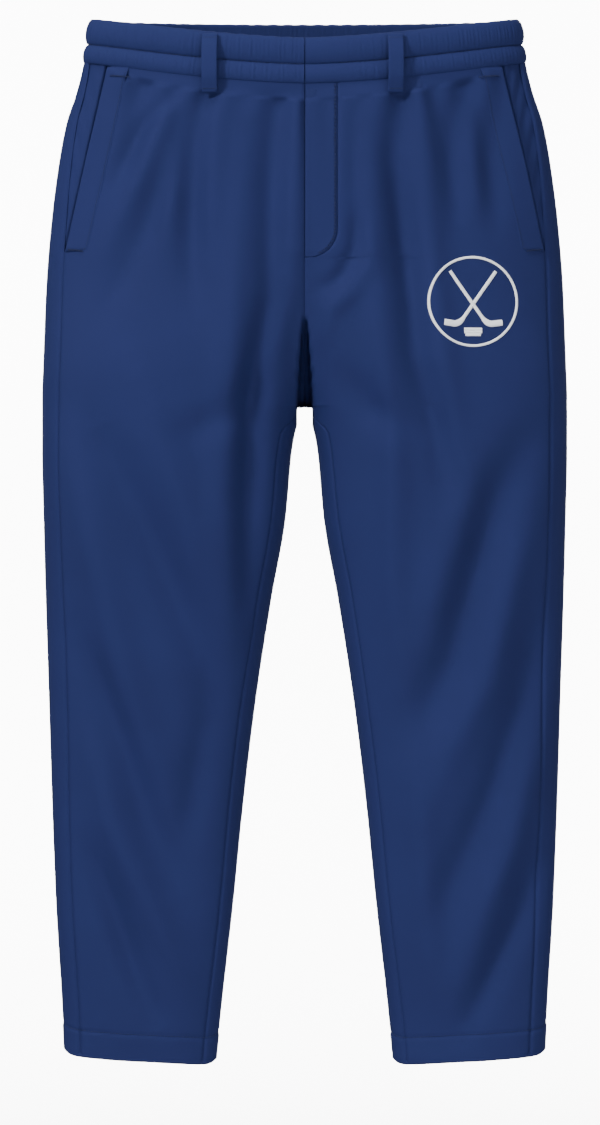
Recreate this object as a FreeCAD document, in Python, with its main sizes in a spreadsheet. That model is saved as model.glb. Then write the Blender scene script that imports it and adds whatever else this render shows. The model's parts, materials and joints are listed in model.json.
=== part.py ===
"""Tapered team trousers with an elastic waistband, a zip fly and two slanted front pockets.

The origin is the centre of the waist opening, level with the top edge at the back. +Z is up, the front
faces -Y and the wearer's left side is +X. Lengths are millimetres. Every cloth layer is cut from nested tubes
that run from the waist to the hem of one leg, and the panels' outlines are drawn as seen from the front.
"""
import math
import os

import FreeCAD
import Part
import Sketcher
from FreeCAD import Placement, Rotation, Vector

doc = FreeCAD.newDocument("team_trousers")
sheet = doc.addObject("Spreadsheet::Sheet", "sheet")

# Cross-sections of the left leg's tube: how far down it is, its two edges across, its depth in front of and
# behind the middle, and how far the side seam lies in from its outer edge. Above the fork the tube passes
# the middle of the body, and is cut off there.
STATIONS = {
    "waist": {"drop": 41.5, "inner": -212, "outer": 212, "front": 50, "back": 50, "seam": 5},
    "high_hip": {"drop": 100, "inner": -229, "outer": 229, "front": 52.6, "back": 60, "seam": 10},
    "hip": {"drop": 200, "inner": -244, "outer": 244, "front": 57, "back": 72, "seam": 15},
    "rise": {"drop": 285, "inner": -100, "outer": 249.5, "front": 60.7, "back": 73, "seam": 17},
    "saddle": {"drop": 330, "inner": -38, "outer": 251, "front": 61.5, "back": 70, "seam": 17.5},
    "fork": {"drop": 366, "inner": -4, "outer": 252, "front": 60, "back": 66, "seam": 18},
    "groin": {"drop": 400, "inner": 9, "outer": 252, "front": 58, "back": 62, "seam": 18},
    "thigh": {"drop": 480, "inner": 18, "outer": 250.5, "front": 54, "back": 57, "seam": 18},
    "knee": {"drop": 650, "inner": 46, "outer": 245.5, "front": 43, "back": 46, "seam": 17.5},
    "calf": {"drop": 850, "inner": 69, "outer": 238, "front": 32, "back": 35, "seam": 17},
    "hem": {"drop": 1000, "inner": 84, "outer": 230, "front": 24, "back": 27, "seam": 15.5},
}
BAND_STATIONS = {
    "band_top": {"drop": 0, "inner": -206, "outer": 206, "front": 50, "back": 50},
    "band_seam": {"drop": 41.5, "inner": -212, "outer": 212, "front": 50, "back": 50},
    "band_low": {"drop": 70, "inner": -219, "outer": 219, "front": 51.3, "back": 54},
}
# How far each layer's face lies inside the outer face of the cloth. A negative depth stands proud of it.
DEPTHS = {
    "face": 0,
    "cloth": 1.2,
    "facing_out": 1.6,
    "facing_in": 2.6,
    "bag_front": 3.0,
    "bag_front_in": 3.6,
    "bag_back_in": 5.6,
    "bag_back": 6.2,
    "tack_proud": -1.6,
    "welt_proud": -1.0,
    "thread_proud": -0.6,
    "band_proud": -1.6,
    "band_cavity_out": -0.8,
    "elastic_out": -0.4,
    "elastic_in": 1.4,
    "band_cavity_in": 1.8,
    "band_in": 2.6,
}
SIZES = {
    "front_dip": 24,  # the front waist seam's middle lies this far below its ends
    "band_dip": 22,  # and the top edge's middle below the back's top edge
    "inseam_inset": 13,
    "fly_width": 31,
    "fly_length": 231,
    "fly_gap": 0.4,
    "fly_slope": 2.53,  # degrees that the front leans out from the waist to the hip
    "mouth_top": 188,
    "mouth_top_drop": 48,
    "mouth_low": 227,
    "mouth_low_drop": 220,
    "welt_width": 21,
    "bag_inner": 105,
    "bag_low_drop": 315,
    "bag_rim": 4,
    "hem_height": 24,
    "emblem_across": 159.6,
    "emblem_drop": 272.5,
    "emblem_radius": 43.5,
    "emblem_stroke": 2.7,
    "loop_width": 15,
    "loop_length": 57,
    "loop_cloth": 1.5,
    "loop_room": 7.6,
    "loop_foot": 6,
    "loop_clearance": 0.5,
    "loop_lean": 1.45,  # degrees, as the band leans out downwards
    "zip_across": 14,
    "zip_top_drop": 76,
    "zip_length": 131,
    "coil_width": 2,
    "coil_gap": 1.2,
    "tape_width": 11.4,
    "cord_width": 1,
    "slider_long": 9,
    "slider_wide": 8,
    "pull_long": 22,
    "snap_across": 12,
    "snap_drop": 44,
}


def fill_sheet():
    """Writes every driving dimension to the sheet, one alias a row."""
    rows = dict(SIZES)
    rows.update(DEPTHS)
    for name, station in {**STATIONS, **BAND_STATIONS}.items():
        rows.update({f"{name}_{key}": value for key, value in station.items()})
    for row, (alias, value) in enumerate(rows.items(), start=1):
        sheet.set(f"A{row}", alias)
        sheet.set(f"B{row}", str(value))
        sheet.setAlias(f"B{row}", alias)
    doc.recompute()
    return sorted(rows, key=len, reverse=True)


ALIASES = fill_sheet()


def linked(expression):
    """The expression with each alias written as a cell of the sheet, for use outside the sheet."""
    words, word = [], ""
    for letter in expression + " ":
        if letter.isalnum() or letter == "_":
            word += letter
        else:
            words.append(f"sheet.{word}" if word in ALIASES else word)
            words.append(letter)
            word = ""
    return "".join(words).strip()


def bind(thing, path, expression):
    thing.setExpression(path, linked(expression))


def value_of(expression):
    return float(sheet.evalExpression(expression))


def labelled(kind, name):
    thing = doc.addObject(kind, name)
    thing.Label = name
    return thing


# ---------------------------------------------------------------- nested tubes


def station_ellipse(label, station, depth):
    """One cross-section of a tube, as deep inside the cloth's outer face as the depth says."""
    ring = labelled("Part::Ellipse", f"{label}_{station}")
    bind(ring, "MajorRadius", f"({station}_outer - {station}_inner) / 2 - {depth}")
    bind(ring, "MinorRadius", f"({station}_front + {station}_back) / 2 - {depth}")
    bind(ring, ".Placement.Base.x", f"({station}_outer + {station}_inner) / 2")
    bind(ring, ".Placement.Base.y", f"({station}_back - {station}_front) / 2")
    bind(ring, ".Placement.Base.z", f"-{station}_drop")
    return ring


def tube(family, stations, depth):
    """A solid that fills everything inside one depth of one family of stations."""
    label = f"{family}_{depth}"
    loft = labelled("Part::Loft", label)
    loft.Sections = [station_ellipse(label, name, depth) for name in stations]
    loft.Solid = True
    loft.Ruled = True
    return loft


def boolean(kind, name, base, tool):
    made = labelled(kind, name)
    made.Base, made.Tool = base, tool
    return made


def cut(name, base, tool):
    return boolean("Part::Cut", name, base, tool)


def common(name, base, tool):
    return boolean("Part::Common", name, base, tool)


def mirrored(name, source):
    """The same piece on the wearer's right."""
    made = labelled("Part::Mirroring", name)
    made.Source, made.Base, made.Normal = source, Vector(0, 0, 0), Vector(1, 0, 0)
    return made


TUBES = {}


def leg_tube(depth):
    if depth not in TUBES:
        TUBES[depth] = tube("leg", STATIONS, depth)
    return TUBES[depth]


def band_tube(depth):
    key = f"band {depth}"
    if key not in TUBES:
        TUBES[key] = tube("band", BAND_STATIONS, depth)
    return TUBES[key]


def layer(name, outer, inner, family=leg_tube):
    """The cloth between two depths."""
    return cut(name, family(outer), family(inner))


# ---------------------------------------------------------------- outlines


def drawn(body, name, plane_role, corners):
    """A closed outline in a sketch, with each corner tied to the sheet by two expressions."""
    sketch = body.newObject("Sketcher::SketchObject", name)
    plane = next(f for f in body.Origin.OriginFeatures if f.Role == plane_role)
    sketch.AttachmentSupport = [(plane, "")]
    sketch.MapMode = "FlatFace"
    places = [(value_of(across), value_of(up)) for across, up in corners]
    count = len(places)
    for i, (across, up) in enumerate(places):
        far = places[(i + 1) % count]
        sketch.addGeometry(Part.LineSegment(Vector(across, up, 0), Vector(*far, 0)), False)
    for i in range(count):
        sketch.addConstraint(Sketcher.Constraint("Coincident", i, 2, (i + 1) % count, 1))
    for i, (place, words) in enumerate(zip(places, corners)):
        for kind, size, expression in zip(("DistanceX", "DistanceY"), place, words):
            at = sketch.addConstraint(Sketcher.Constraint(kind, -1, 1, i, 1, size))
            bind(sketch, f"Constraints[{at}]", expression)
    return sketch


def prism(name, plane_role, corners, length, both_ways=False, fillet=None):
    """A body that pads an outline. From the front plane it reaches to -Y, from the floor plane to +Z and
    from the side plane to +X. A fillet is (corner number, radius)."""
    body = labelled("PartDesign::Body", name)
    sketch = drawn(body, f"{name}_outline", plane_role, corners)
    pad = body.newObject("PartDesign::Pad", f"{name}_pad")
    pad.Profile = sketch
    pad.Midplane = both_ways
    bind(pad, "Length", length)
    doc.recompute()
    if fillet:
        corner, radius = fillet
        place = [value_of(word) for word in corners[corner]]
        round_off(body, pad, name, place, radius)
    return body


def round_off(body, pad, name, place, radius):
    """Rounds the edge of a pad that runs along Y through one place of its outline."""
    for number, edge in enumerate(pad.Shape.Edges, start=1):
        middle = edge.CenterOfMass
        if abs(middle.x - place[0]) < 0.01 and abs(middle.z - place[1]) < 0.01:
            rounding = body.newObject("PartDesign::Fillet", f"{name}_rounding")
            rounding.Base = (pad, [f"Edge{number}"])
            bind(rounding, "Radius", radius)
            body.Tip = rounding
            doc.recompute()
            return
    raise ValueError(f"{name} has no corner at {place}")


FRONT = "XZ_Plane"
REACH = "220"  # deeper than any part of the garment


def front_prism(name, corners, fillet=None):
    """An outline seen from the front, cut through all that lies ahead of the middle, by (across, drop)."""
    return prism(name, FRONT, [(across, f"-({drop})") for across, drop in corners], REACH, fillet=fillet)


def side_seam(*stations):
    return [(f"{name}_outer - {name}_seam", f"{name}_drop") for name in stations]


# The waist seam of the front, from the middle out to the pocket and the side seam.
SEAM_MIDDLE = ("0", "waist_drop + front_dip")
SEAM_LINE = [
    ("60", "waist_drop + front_dip * 0.87"),
    ("115", "waist_drop + front_dip * 0.6"),
    ("185", "waist_drop + front_dip * 0.17"),
]
LOW = "hem_drop + 1"
SIDE_LINE = side_seam("high_hip", "hip", "rise", "groin", "knee", "calf") + [("hem_outer - hem_seam", LOW)]
INSEAM_LINE = [
    ("hem_inner + inseam_inset", LOW),
    ("calf_inner + inseam_inset", "calf_drop"),
    ("knee_inner + inseam_inset", "knee_drop"),
    ("groin_inner + inseam_inset", "groin_drop + 6"),
    ("0", "fork_drop + 6"),
]


def flys(gap):
    """The fly's outline, with its lower corner rounded. The gap widens it."""
    corners = [
        (f"{gap}", "waist_drop + front_dip"),
        (f"fly_width - {gap}", "waist_drop + front_dip * 0.93"),
        (f"fly_width - {gap}", f"fly_length - {gap}"),
        (f"{gap}", f"fly_length - {gap}"),
    ]
    return corners, (2, f"fly_width - 4 - {gap}")


# ---------------------------------------------------------------- panels


def make_panels():
    """Two front and two back panels. The left front leaves room for the fly's flap."""
    shell = layer("shell", "face", "cloth")
    waist_end = ("207", "waist_drop")
    front = front_prism("front_outline", [SEAM_MIDDLE, *SEAM_LINE, waist_end, *SIDE_LINE, *INSEAM_LINE])
    mouth = front_prism(
        "mouth_outline",
        [
            ("mouth_top", "0"),
            ("260", "0"),
            *side_seam("high_hip", "hip"),
            ("rise_outer - rise_seam - 1", "mouth_low_drop"),
            ("mouth_low", "mouth_low_drop"),
            ("mouth_top", "mouth_top_drop"),
        ],
    )
    fly_corners, fly_round = flys("0")
    fly_corners[0] = ("-1", "0")
    fly_corners[1] = ("fly_width", "0")
    fly_corners[3] = ("-1", "fly_length")
    fly_hole = front_prism("fly_hole", fly_corners, fly_round)
    whole = common("front_whole", shell, front)
    open_front = cut("front_open", whole, mouth)
    left = cut("front_panel_left", open_front, fly_hole)
    right = mirrored("front_panel_right", open_front)

    half = labelled("Part::Box", "left_half")
    bind(half, "Length", "300")
    bind(half, "Width", "400")
    bind(half, "Height", f"{LOW}")
    bind(half, ".Placement.Base.y", "-200")
    bind(half, ".Placement.Base.z", f"-({LOW})")
    ahead = front_prism(
        "ahead_outline",
        [("-1", "0"), ("207", "0"), *side_seam("waist"), *SIDE_LINE, *INSEAM_LINE, ("-1", "fork_drop + 6")],
    )
    behind = common("back_panel_left", cut("shell_behind", shell, ahead), half)
    return [left, right, behind, mirrored("back_panel_right", behind)]


def make_fly():
    """The moving flap of the fly and the facing stitched to its inner face."""
    corners, rounding = flys("fly_gap")
    outline = front_prism("flap_outline", corners, rounding)
    flap = common("fly_flap", doc.getObject("shell"), outline)
    facing_layer = layer("facing_layer", "facing_out", "facing_in")
    facing = common("fly_facing", facing_layer, outline)
    return [flap, facing]


def make_pockets():
    """Welt, facing and bag of the left pocket, and the same on the right."""
    welt_layer = layer("welt_layer", "welt_proud", "face")
    welt = common(
        "pocket_welt_left",
        welt_layer,
        front_prism(
            "welt_outline",
            [
                ("mouth_top - welt_width", "mouth_top_drop + 2"),
                ("mouth_top", "mouth_top_drop"),
                ("mouth_low", "mouth_low_drop"),
                ("mouth_low - welt_width", "mouth_low_drop + 6"),
            ],
        ),
    )
    facing = common(
        "pocket_facing_left",
        doc.getObject("facing_layer"),
        front_prism(
            "pocket_facing_outline",
            [
                ("mouth_top - 10", "mouth_top_drop - 2"),
                ("207", "waist_drop + 2"),
                *side_seam("high_hip", "hip"),
                ("mouth_low + 3", "mouth_low_drop + 6"),
                ("mouth_low - 10", "mouth_low_drop + 4"),
            ],
        ),
    )
    bag_corners = [
        ("bag_inner", "waist_drop + front_dip * 0.7"),
        ("mouth_top - 2", "mouth_top_drop + 2"),
        ("mouth_low - 2", "mouth_low_drop"),
        ("mouth_low - 6", "bag_low_drop"),
        ("bag_inner + 15", "bag_low_drop"),
        ("bag_inner", "bag_low_drop - 20"),
    ]
    room_corners = [
        ("bag_inner + bag_rim", "waist_drop + front_dip * 0.7 + bag_rim"),
        ("mouth_top + 20", "mouth_top_drop + 2 + bag_rim"),
        ("mouth_low + 8", "mouth_low_drop"),
        ("mouth_low - 6 - bag_rim", "bag_low_drop - bag_rim"),
        ("bag_inner + 15", "bag_low_drop - bag_rim"),
        ("bag_inner + bag_rim", "bag_low_drop - 20 - bag_rim"),
    ]
    pouch_layer = layer("pouch_layer", "bag_front", "bag_back")
    pouch = common("pouch", pouch_layer, front_prism("bag_outline", bag_corners))
    room = common(
        "pouch_room",
        layer("room_layer", "bag_front_in", "bag_back_in"),
        front_prism("room_outline", room_corners),
    )
    bag = cut("pocket_bag_left", pouch, room)
    pieces = []
    for piece in (welt, facing, bag):
        pieces += [piece, mirrored(piece.Label.replace("left", "right"), piece)]
    return pieces


def make_hems():
    """The turned-up cloth inside the bottom of each leg."""
    ring = labelled("Part::Box", "hem_zone")
    bind(ring, "Length", "300")
    bind(ring, "Width", "400")
    bind(ring, "Height", "hem_height")
    bind(ring, ".Placement.Base.y", "-200")
    bind(ring, ".Placement.Base.z", "-hem_drop")
    left = common("hem_left", doc.getObject("facing_layer"), ring)
    return [left, mirrored("hem_right", left)]


# ---------------------------------------------------------------- waistband


TOP_LINE = [
    ("fly_width", "band_dip * 0.96"),
    ("60", "band_dip * 0.86"),
    ("115", "band_dip * 0.57"),
    ("165", "band_dip * 0.3"),
    ("205", "0.5"),
]


def band_piece(name, casing, start, dip="front_dip", inset_top="0", inset_low="0.3"):
    """The stretch of a band layer from one place near the middle out to the left side seam. The dip is how
    far the waist seam lies below its ends at the start."""
    top = [(across, f"{drop} + {inset_top}") for across, drop in TOP_LINE if across != "fly_width"]
    low = [(across, f"{drop} - {inset_low}") for across, drop in reversed(SEAM_LINE)]
    corners = [
        (start, f"band_dip + {inset_top}"),
        *top,
        ("207", f"waist_drop - {inset_low}"),
        *low,
        (start, f"waist_drop + {dip} - {inset_low}"),
    ]
    return common(name, casing, front_prism(f"{name}_outline", corners))


def make_waistband():
    """Casings with their elastics: front left, front right and back, and the tab over the fly."""
    walls = layer("band_walls", "band_proud", "band_in", band_tube)
    cavity = layer("band_cavity", "band_cavity_out", "band_cavity_in", band_tube)
    web = layer("elastic_layer", "elastic_out", "elastic_in", band_tube)

    fly_dip = "front_dip * 0.93"
    left_room = band_piece("band_room_left", cavity, "fly_width + 4", fly_dip, "3", "2")
    left_band = band_piece("band_left", walls, "fly_width + fly_gap", fly_dip)
    left = cut("waistband_front_left", left_band, left_room)
    right_room = band_piece("band_room_right", cavity, "8", inset_top="3", inset_low="2")
    right = mirrored(
        "waistband_front_right", cut("band_right_open", band_piece("band_right", walls, "0"), right_room)
    )
    tab = common(
        "waistband_tab",
        walls,
        front_prism(
            "tab_outline",
            [
                ("fly_gap", "band_dip"),
                ("fly_width - fly_gap", "band_dip * 0.96"),
                ("fly_width - fly_gap", "waist_drop + front_dip * 0.93 - 0.3"),
                ("fly_gap", "waist_drop + front_dip - 0.3"),
            ],
        ),
    )

    elastic_left = band_piece("waistband_elastic_left", web, "fly_width + 5", fly_dip, "4", "3")
    right_web = band_piece("elastic_right", web, "9", inset_top="4", inset_low="3")
    elastic_right = mirrored("waistband_elastic_right", right_web)

    back = cut("waistband_back", band_back("back_walls", walls, "0", "0.2", "0"),
               band_back("back_room", cavity, "3", "2", "3"))
    elastic_back = band_back("waistband_elastic_back", web, "4", "3", "4")
    return [left, right, back, tab, elastic_left, elastic_right, elastic_back]


def band_back(name, casing, inset_top, inset_low, inset_side):
    """The back's stretch of a band layer, from side seam to side seam."""
    height = f"waist_drop - {inset_top} - {inset_low}"
    zone = labelled("Part::Box", f"{name}_zone")
    bind(zone, "Length", "460")
    bind(zone, "Width", "400")
    bind(zone, "Height", height)
    bind(zone, ".Placement.Base.x", "-230")
    bind(zone, ".Placement.Base.y", "-200")
    bind(zone, ".Placement.Base.z", f"-waist_drop + {inset_low}")
    side = prism(
        f"{name}_front",
        FRONT,
        [(f"-(205 + {inset_side})", "1"), (f"205 + {inset_side}", "1"),
         (f"207 + {inset_side}", "-waist_drop - 1"), (f"-(207 + {inset_side})", "-waist_drop - 1")],
        REACH,
    )
    return cut(name, common(f"{name}_ring", casing, zone), side)


# ---------------------------------------------------------------- belt loops


LOOP_PLACES = {
    "belt_loop_front_left": {"across": 86, "turn": 6, "behind": False},
    "belt_loop_front_right": {"across": -90, "turn": -6, "behind": False},
    "belt_loop_back_left": {"across": 128, "turn": -10, "behind": True},
    "belt_loop_back_right": {"across": -128, "turn": 10, "behind": True},
    "belt_loop_back_middle": {"across": 0, "turn": 0, "behind": True},
}


def make_belt_loops():
    """Each loop is a strip with a foot at each end, and stands off the band far enough for a belt."""
    made = []
    for name, place in LOOP_PLACES.items():
        profile = [
            ("0", "0"),
            ("0", "-loop_foot"),
            ("-loop_room", "-loop_foot - 3"),
            ("-loop_room", "-loop_length + loop_foot + 3"),
            ("0", "-loop_length + loop_foot"),
            ("0", "-loop_length"),
            ("-loop_cloth", "-loop_length"),
            ("-loop_room - loop_cloth", "-loop_length + loop_foot"),
            ("-loop_room - loop_cloth", "-loop_foot"),
            ("-loop_cloth", "0"),
        ]
        loop = prism(name, "YZ_Plane", profile, "loop_width", both_ways=True)
        across = place["across"]
        half_depth = value_of("band_seam_front - band_proud")
        half_width = value_of("band_seam_outer - band_proud")
        out = half_depth * (1 - (across / half_width) ** 2) ** 0.5
        out += value_of("loop_clearance")
        lean = Rotation(Vector(1, 0, 0), -value_of("loop_lean"))
        if place["behind"]:
            turn = Rotation(Vector(0, 0, 1), 180 + place["turn"])
            loop.Placement = Placement(Vector(across, out, -2), turn * lean)
        else:
            turn = Rotation(Vector(0, 0, 1), place["turn"])
            low = 0.7 * value_of("band_dip") + 2
            loop.Placement = Placement(Vector(across, -out, -low), turn * lean)
        made.append(loop)
    return made


# ---------------------------------------------------------------- zip and snap


def fly_frame(across="zip_across", drop="zip_top_drop"):
    """The placement of the zip: its Z runs up the slope of the front, its Y goes in from the cloth's face."""
    slope = value_of("fly_slope")
    down = value_of(drop)
    face = value_of("waist_front") + (down - value_of("waist_drop")) * math.tan(math.radians(slope))
    return Placement(Vector(value_of(across), -face, -down), Rotation(Vector(1, 0, 0), -slope))


# Depths of the zip's layers, inwards from the outer face of the cloth.
BAR_IN = 4.2
PLATE_IN = 5.5
COIL_IN = 6.6
TAPE_IN = 8.5
BACK_PLATE_IN = 9.2
SHIELD_IN = 10.7


def slab(name, across, width, inward, thick, low, high):
    """A box given by its middle across, its depth and its two heights, in the zip's own frame."""
    made = labelled("Part::Box", name)
    bind(made, "Length", width)
    bind(made, "Width", f"{thick}")
    bind(made, "Height", f"{high} - ({low})")
    bind(made, ".Placement.Base.x", f"{across} - ({width}) / 2")
    bind(made, ".Placement.Base.y", f"{inward}")
    bind(made, ".Placement.Base.z", low)
    return made


def fused(name, pieces):
    made = labelled("Part::MultiFuse", name)
    made.Shapes = pieces
    return made


def moved(name, source, placement):
    """A piece drawn in the zip's frame and set in the garment's."""
    source.Placement = placement
    source.Label = name
    return source


def make_zip():
    """Tapes, coils, stops, slider and pull of the fly's zip, and the shield behind it."""
    frame = fly_frame()
    made = []
    for side, sign in (("left", 1), ("right", -1)):
        coil_at = f"{sign} * (coil_gap + coil_width) / 2"
        tape_at = f"{sign} * (coil_gap + tape_width) / 2"
        cord_at = f"{sign} * (coil_gap + cord_width) / 2"
        coil = fused(
            f"zip_coil_{side}",
            [
                slab(f"coil_{side}", coil_at, "coil_width", COIL_IN, 1.8, "-zip_length", "0"),
                slab(f"core_{side}", coil_at, "0.8", COIL_IN, 1.85, "-zip_length - 1", "1"),
            ],
        )
        tape = fused(
            f"zip_tape_{side}",
            [
                slab(f"tape_{side}", tape_at, "tape_width", TAPE_IN, 0.5, "-zip_length - 8", "8"),
                slab(f"cord_{side}", cord_at, "cord_width", TAPE_IN, 0.6, "-zip_length - 8", "8"),
            ],
        )
        made += [moved(coil.Label, coil, frame), moved(tape.Label, tape, frame)]
    top_stops = []
    for sign in (1, -1):
        stop_at = f"{sign} * (coil_gap + coil_width) / 2"
        top_stops.append(slab(f"stop_{sign}", stop_at, "2.4", COIL_IN, 1.8, "1.4", "4"))
    made.append(moved("zip_top_stops", fused("zip_top_stops", top_stops), frame))
    staple = slab("staple", "0", "6", COIL_IN - 0.2, 2.0, "-zip_length - 4.5", "-zip_length - 1.4")
    ridge = slab("staple_ridge", "0", "4.6", COIL_IN - 0.6, 1.0, "-zip_length - 3.7", "-zip_length - 2.2")
    made.append(moved("zip_bottom_stop", fused("zip_bottom_stop", [staple, ridge]), frame))

    front = slab("slider_front", "0", "slider_wide", PLATE_IN, 0.9, "-slider_long", "0")
    back = slab("slider_back", "0", "slider_wide", BACK_PLATE_IN, 0.8, "-slider_long", "0")
    post = slab("slider_post", "0", "0.7", PLATE_IN, BACK_PLATE_IN - PLATE_IN + 0.2, "-3.4", "-0.4")
    rims, lugs = [], []
    for sign in (1, -1):
        rim_at, lug_rise = f"{sign} * (slider_wide / 2 - 0.35)", PLATE_IN - BAR_IN + 0.9
        rims.append(slab(f"slider_rim_{sign}", rim_at, "0.7", PLATE_IN, 2.8, "-slider_long", "0"))
        lugs.append(slab(f"slider_lug_{sign}", f"{sign} * 2.9", "0.8", BAR_IN - 0.8, lug_rise, "-5", "-2.6"))
    bar = labelled("Part::Cylinder", "slider_bar")
    bar.Radius, bar.Height = 0.55, 6
    bar.Placement = Placement(Vector(-3, BAR_IN, -3.8), Rotation(Vector(0, 1, 0), 90))
    slider = fused("zip_slider", [front, back, post, *rims, *lugs, bar])
    made.append(moved("zip_slider", slider, frame))

    eye = labelled("Part::Cylinder", "pull_eye")
    eye.Radius, eye.Height = 1.05, 4.2
    eye.Placement = Placement(Vector(-2.1, BAR_IN, -3.8), Rotation(Vector(0, 1, 0), 90))
    neck = slab("pull_neck", "0", "4.2", BAR_IN - 0.5, 1.0, "-7", "-3.8")
    grip = slab("pull_grip", "0", "6", BAR_IN - 0.5, 1.0, "-3.8 - pull_long", "-6.4")
    bore = labelled("Part::Cylinder", "pull_bore")
    bore.Radius, bore.Height = 0.62, 8
    bore.Placement = Placement(Vector(-4, BAR_IN, -3.8), Rotation(Vector(0, 1, 0), 90))
    slot = slab("pull_slot", "0", "2.6", BAR_IN - 2, 4, "-3.8 - pull_long + 3", "-3.8 - pull_long + 11")
    pull = cut("pull_bored", cut("pull_slotted", fused("pull_blank", [eye, neck, grip]), slot), bore)
    made.append(moved("zip_pull", pull, frame))

    shield = fused(
        "fly_shield",
        [
            slab("shield_sheet", "1", "36", SHIELD_IN, 0.8, "-zip_length - 12", "10"),
            slab("shield_edge", "18.4", "1.2", SHIELD_IN, 1.4, "-zip_length - 12", "10"),
        ],
    )
    made.append(moved("fly_shield", shield, frame))
    return made


def snap_disc(name, radius, hole, inward, thick):
    """A round snap piece centred on the tab, with its axis along Y."""
    disc = labelled("Part::Cylinder", f"{name}_disc")
    disc.Radius, disc.Height = radius, thick
    placement = Placement(
        Vector(value_of("snap_across"), -value_of("band_seam_front") + inward, -value_of("snap_drop")),
        Rotation(Vector(1, 0, 0), -90),
    )
    disc.Placement = placement
    if not hole:
        disc.Label = name
        return disc
    drill = labelled("Part::Cylinder", f"{name}_drill")
    drill.Radius, drill.Height = hole, thick
    drill.Placement = placement
    return cut(name, disc, drill)


def make_snap():
    """The concealed press stud of the waistband and the underlap that carries its lower half."""
    underlap = prism(
        "waistband_underlap",
        "XY_Plane",
        [
            ("-26", "-band_seam_front + 3.2"),
            ("-1", "-band_seam_front + 3.2"),
            ("-1", "-band_seam_front + 5.4"),
            ("fly_width + 2", "-band_seam_front + 5.4"),
            ("fly_width + 2", "-band_seam_front + 7.8"),
            ("-26", "-band_seam_front + 7.8"),
        ],
        "36",
    )
    underlap.Placement = Placement(Vector(0, 0, -62), Rotation())
    socket = snap_disc("snap_socket", 6, 2.7, 3.0, 1.3)
    stud = snap_disc("stud_base", 5.5, 0, 4.8, 0.5)
    ball = snap_disc("stud_ball", 2.2, 0, 3.5, 1.5)
    post = snap_disc("snap_post", 4.5, 1.2, 7.9, 0.7)
    return [underlap, socket, fused("snap_stud", [stud, ball]), post]


# ---------------------------------------------------------------- emblem and tacks


def flat_cylinder(name, radius):
    """A cylinder along Y, in front of the emblem's middle."""
    made = labelled("Part::Cylinder", name)
    bind(made, "Radius", radius)
    bind(made, "Height", REACH)
    made.Placement = Placement(
        Vector(value_of("emblem_across"), 0, -value_of("emblem_drop")), Rotation(Vector(1, 0, 0), 90)
    )
    return made


def emblem_corner(across, up):
    return (f"emblem_across + ({across})", f"emblem_drop - ({up})")


def make_emblem():
    """An embroidered ring round two crossed hockey sticks and a puck."""
    thread = layer("thread_layer", "thread_proud", "face")
    rim = flat_cylinder("ring_outside", "emblem_radius")
    hollow = flat_cylinder("ring_inside", "emblem_radius - emblem_stroke")
    ring = common("emblem_ring", thread, cut("ring_blank", rim, hollow))
    sticks = []
    for side in (1, -1):
        shape = [(19, 27), (23, 25), (-9, -17), (-25, -18), (-26, -23), (-12, -24)]
        corners = [emblem_corner(side * across, up) for across, up in shape]
        sticks.append(front_prism(f"stick_{side}".replace("-", "m"), corners))
    puck = front_prism("puck", [emblem_corner(a, u) for a, u in ((-7, -27), (7, -27), (7, -32), (-7, -32))])
    motif = common("emblem_motif", thread, fused("motif_blank", [*sticks, puck]))
    return [ring, motif]


def make_tacks():
    """Short bars of dense stitching on the face of both welts, at their ends."""
    thread = layer("tack_layer", "tack_proud", "welt_proud")
    marks = []
    ends = [("mouth_low - 16", "mouth_low_drop - 4"), ("mouth_top - 19", "mouth_top_drop + 3")]
    for number, (across, drop) in enumerate(ends):
        far, low = f"{across} + 11", f"{drop} + 1.8"
        corners = [(across, drop), (far, drop), (far, low), (across, low)]
        marks.append(common(f"tack_{number}", thread, front_prism(f"tack_outline_{number}", corners)))
    left = fused("tacks_left", marks)
    return [fused("bartacks", [left, mirrored("tacks_right", left)])]


def check_objects():
    for thing in doc.Objects:
        bad = [word for word in thing.State if word in ("Invalid", "Error")]
        if bad:
            raise RuntimeError(f"{thing.Label} is {bad}")


def export(pieces):
    os.makedirs("parts", exist_ok=True)
    for old in os.listdir("parts"):
        os.remove(os.path.join("parts", old))
    for piece in pieces:
        shape = piece.Shape
        if shape.isNull() or not shape.isValid() or not shape.Solids:
            raise RuntimeError(f"{piece.Label} has no sound solid")
        shape.exportStep(f"parts/{piece.Label}.step")
        print(f"{piece.Label}: {len(shape.Solids)} solid(s), {shape.Volume:.0f} mm3")


def main():
    pieces = make_panels() + make_fly() + make_pockets() + make_hems() + make_waistband()
    pieces += make_belt_loops() + make_zip() + make_snap() + make_emblem() + make_tacks()
    doc.recompute()
    check_objects()
    export(pieces)


main()
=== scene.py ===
"""Tapered knit team trousers, standing as if worn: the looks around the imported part.

Lengths in the garment's own maths are millimetres, and a drop is measured down from the back's top edge.
They become metres when a mesh is made. An angle on a leg's tube is 0 at its outer side, a quarter turn at the
front, half a turn at the inner side and three quarters at the back.
"""

import json
import math

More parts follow.
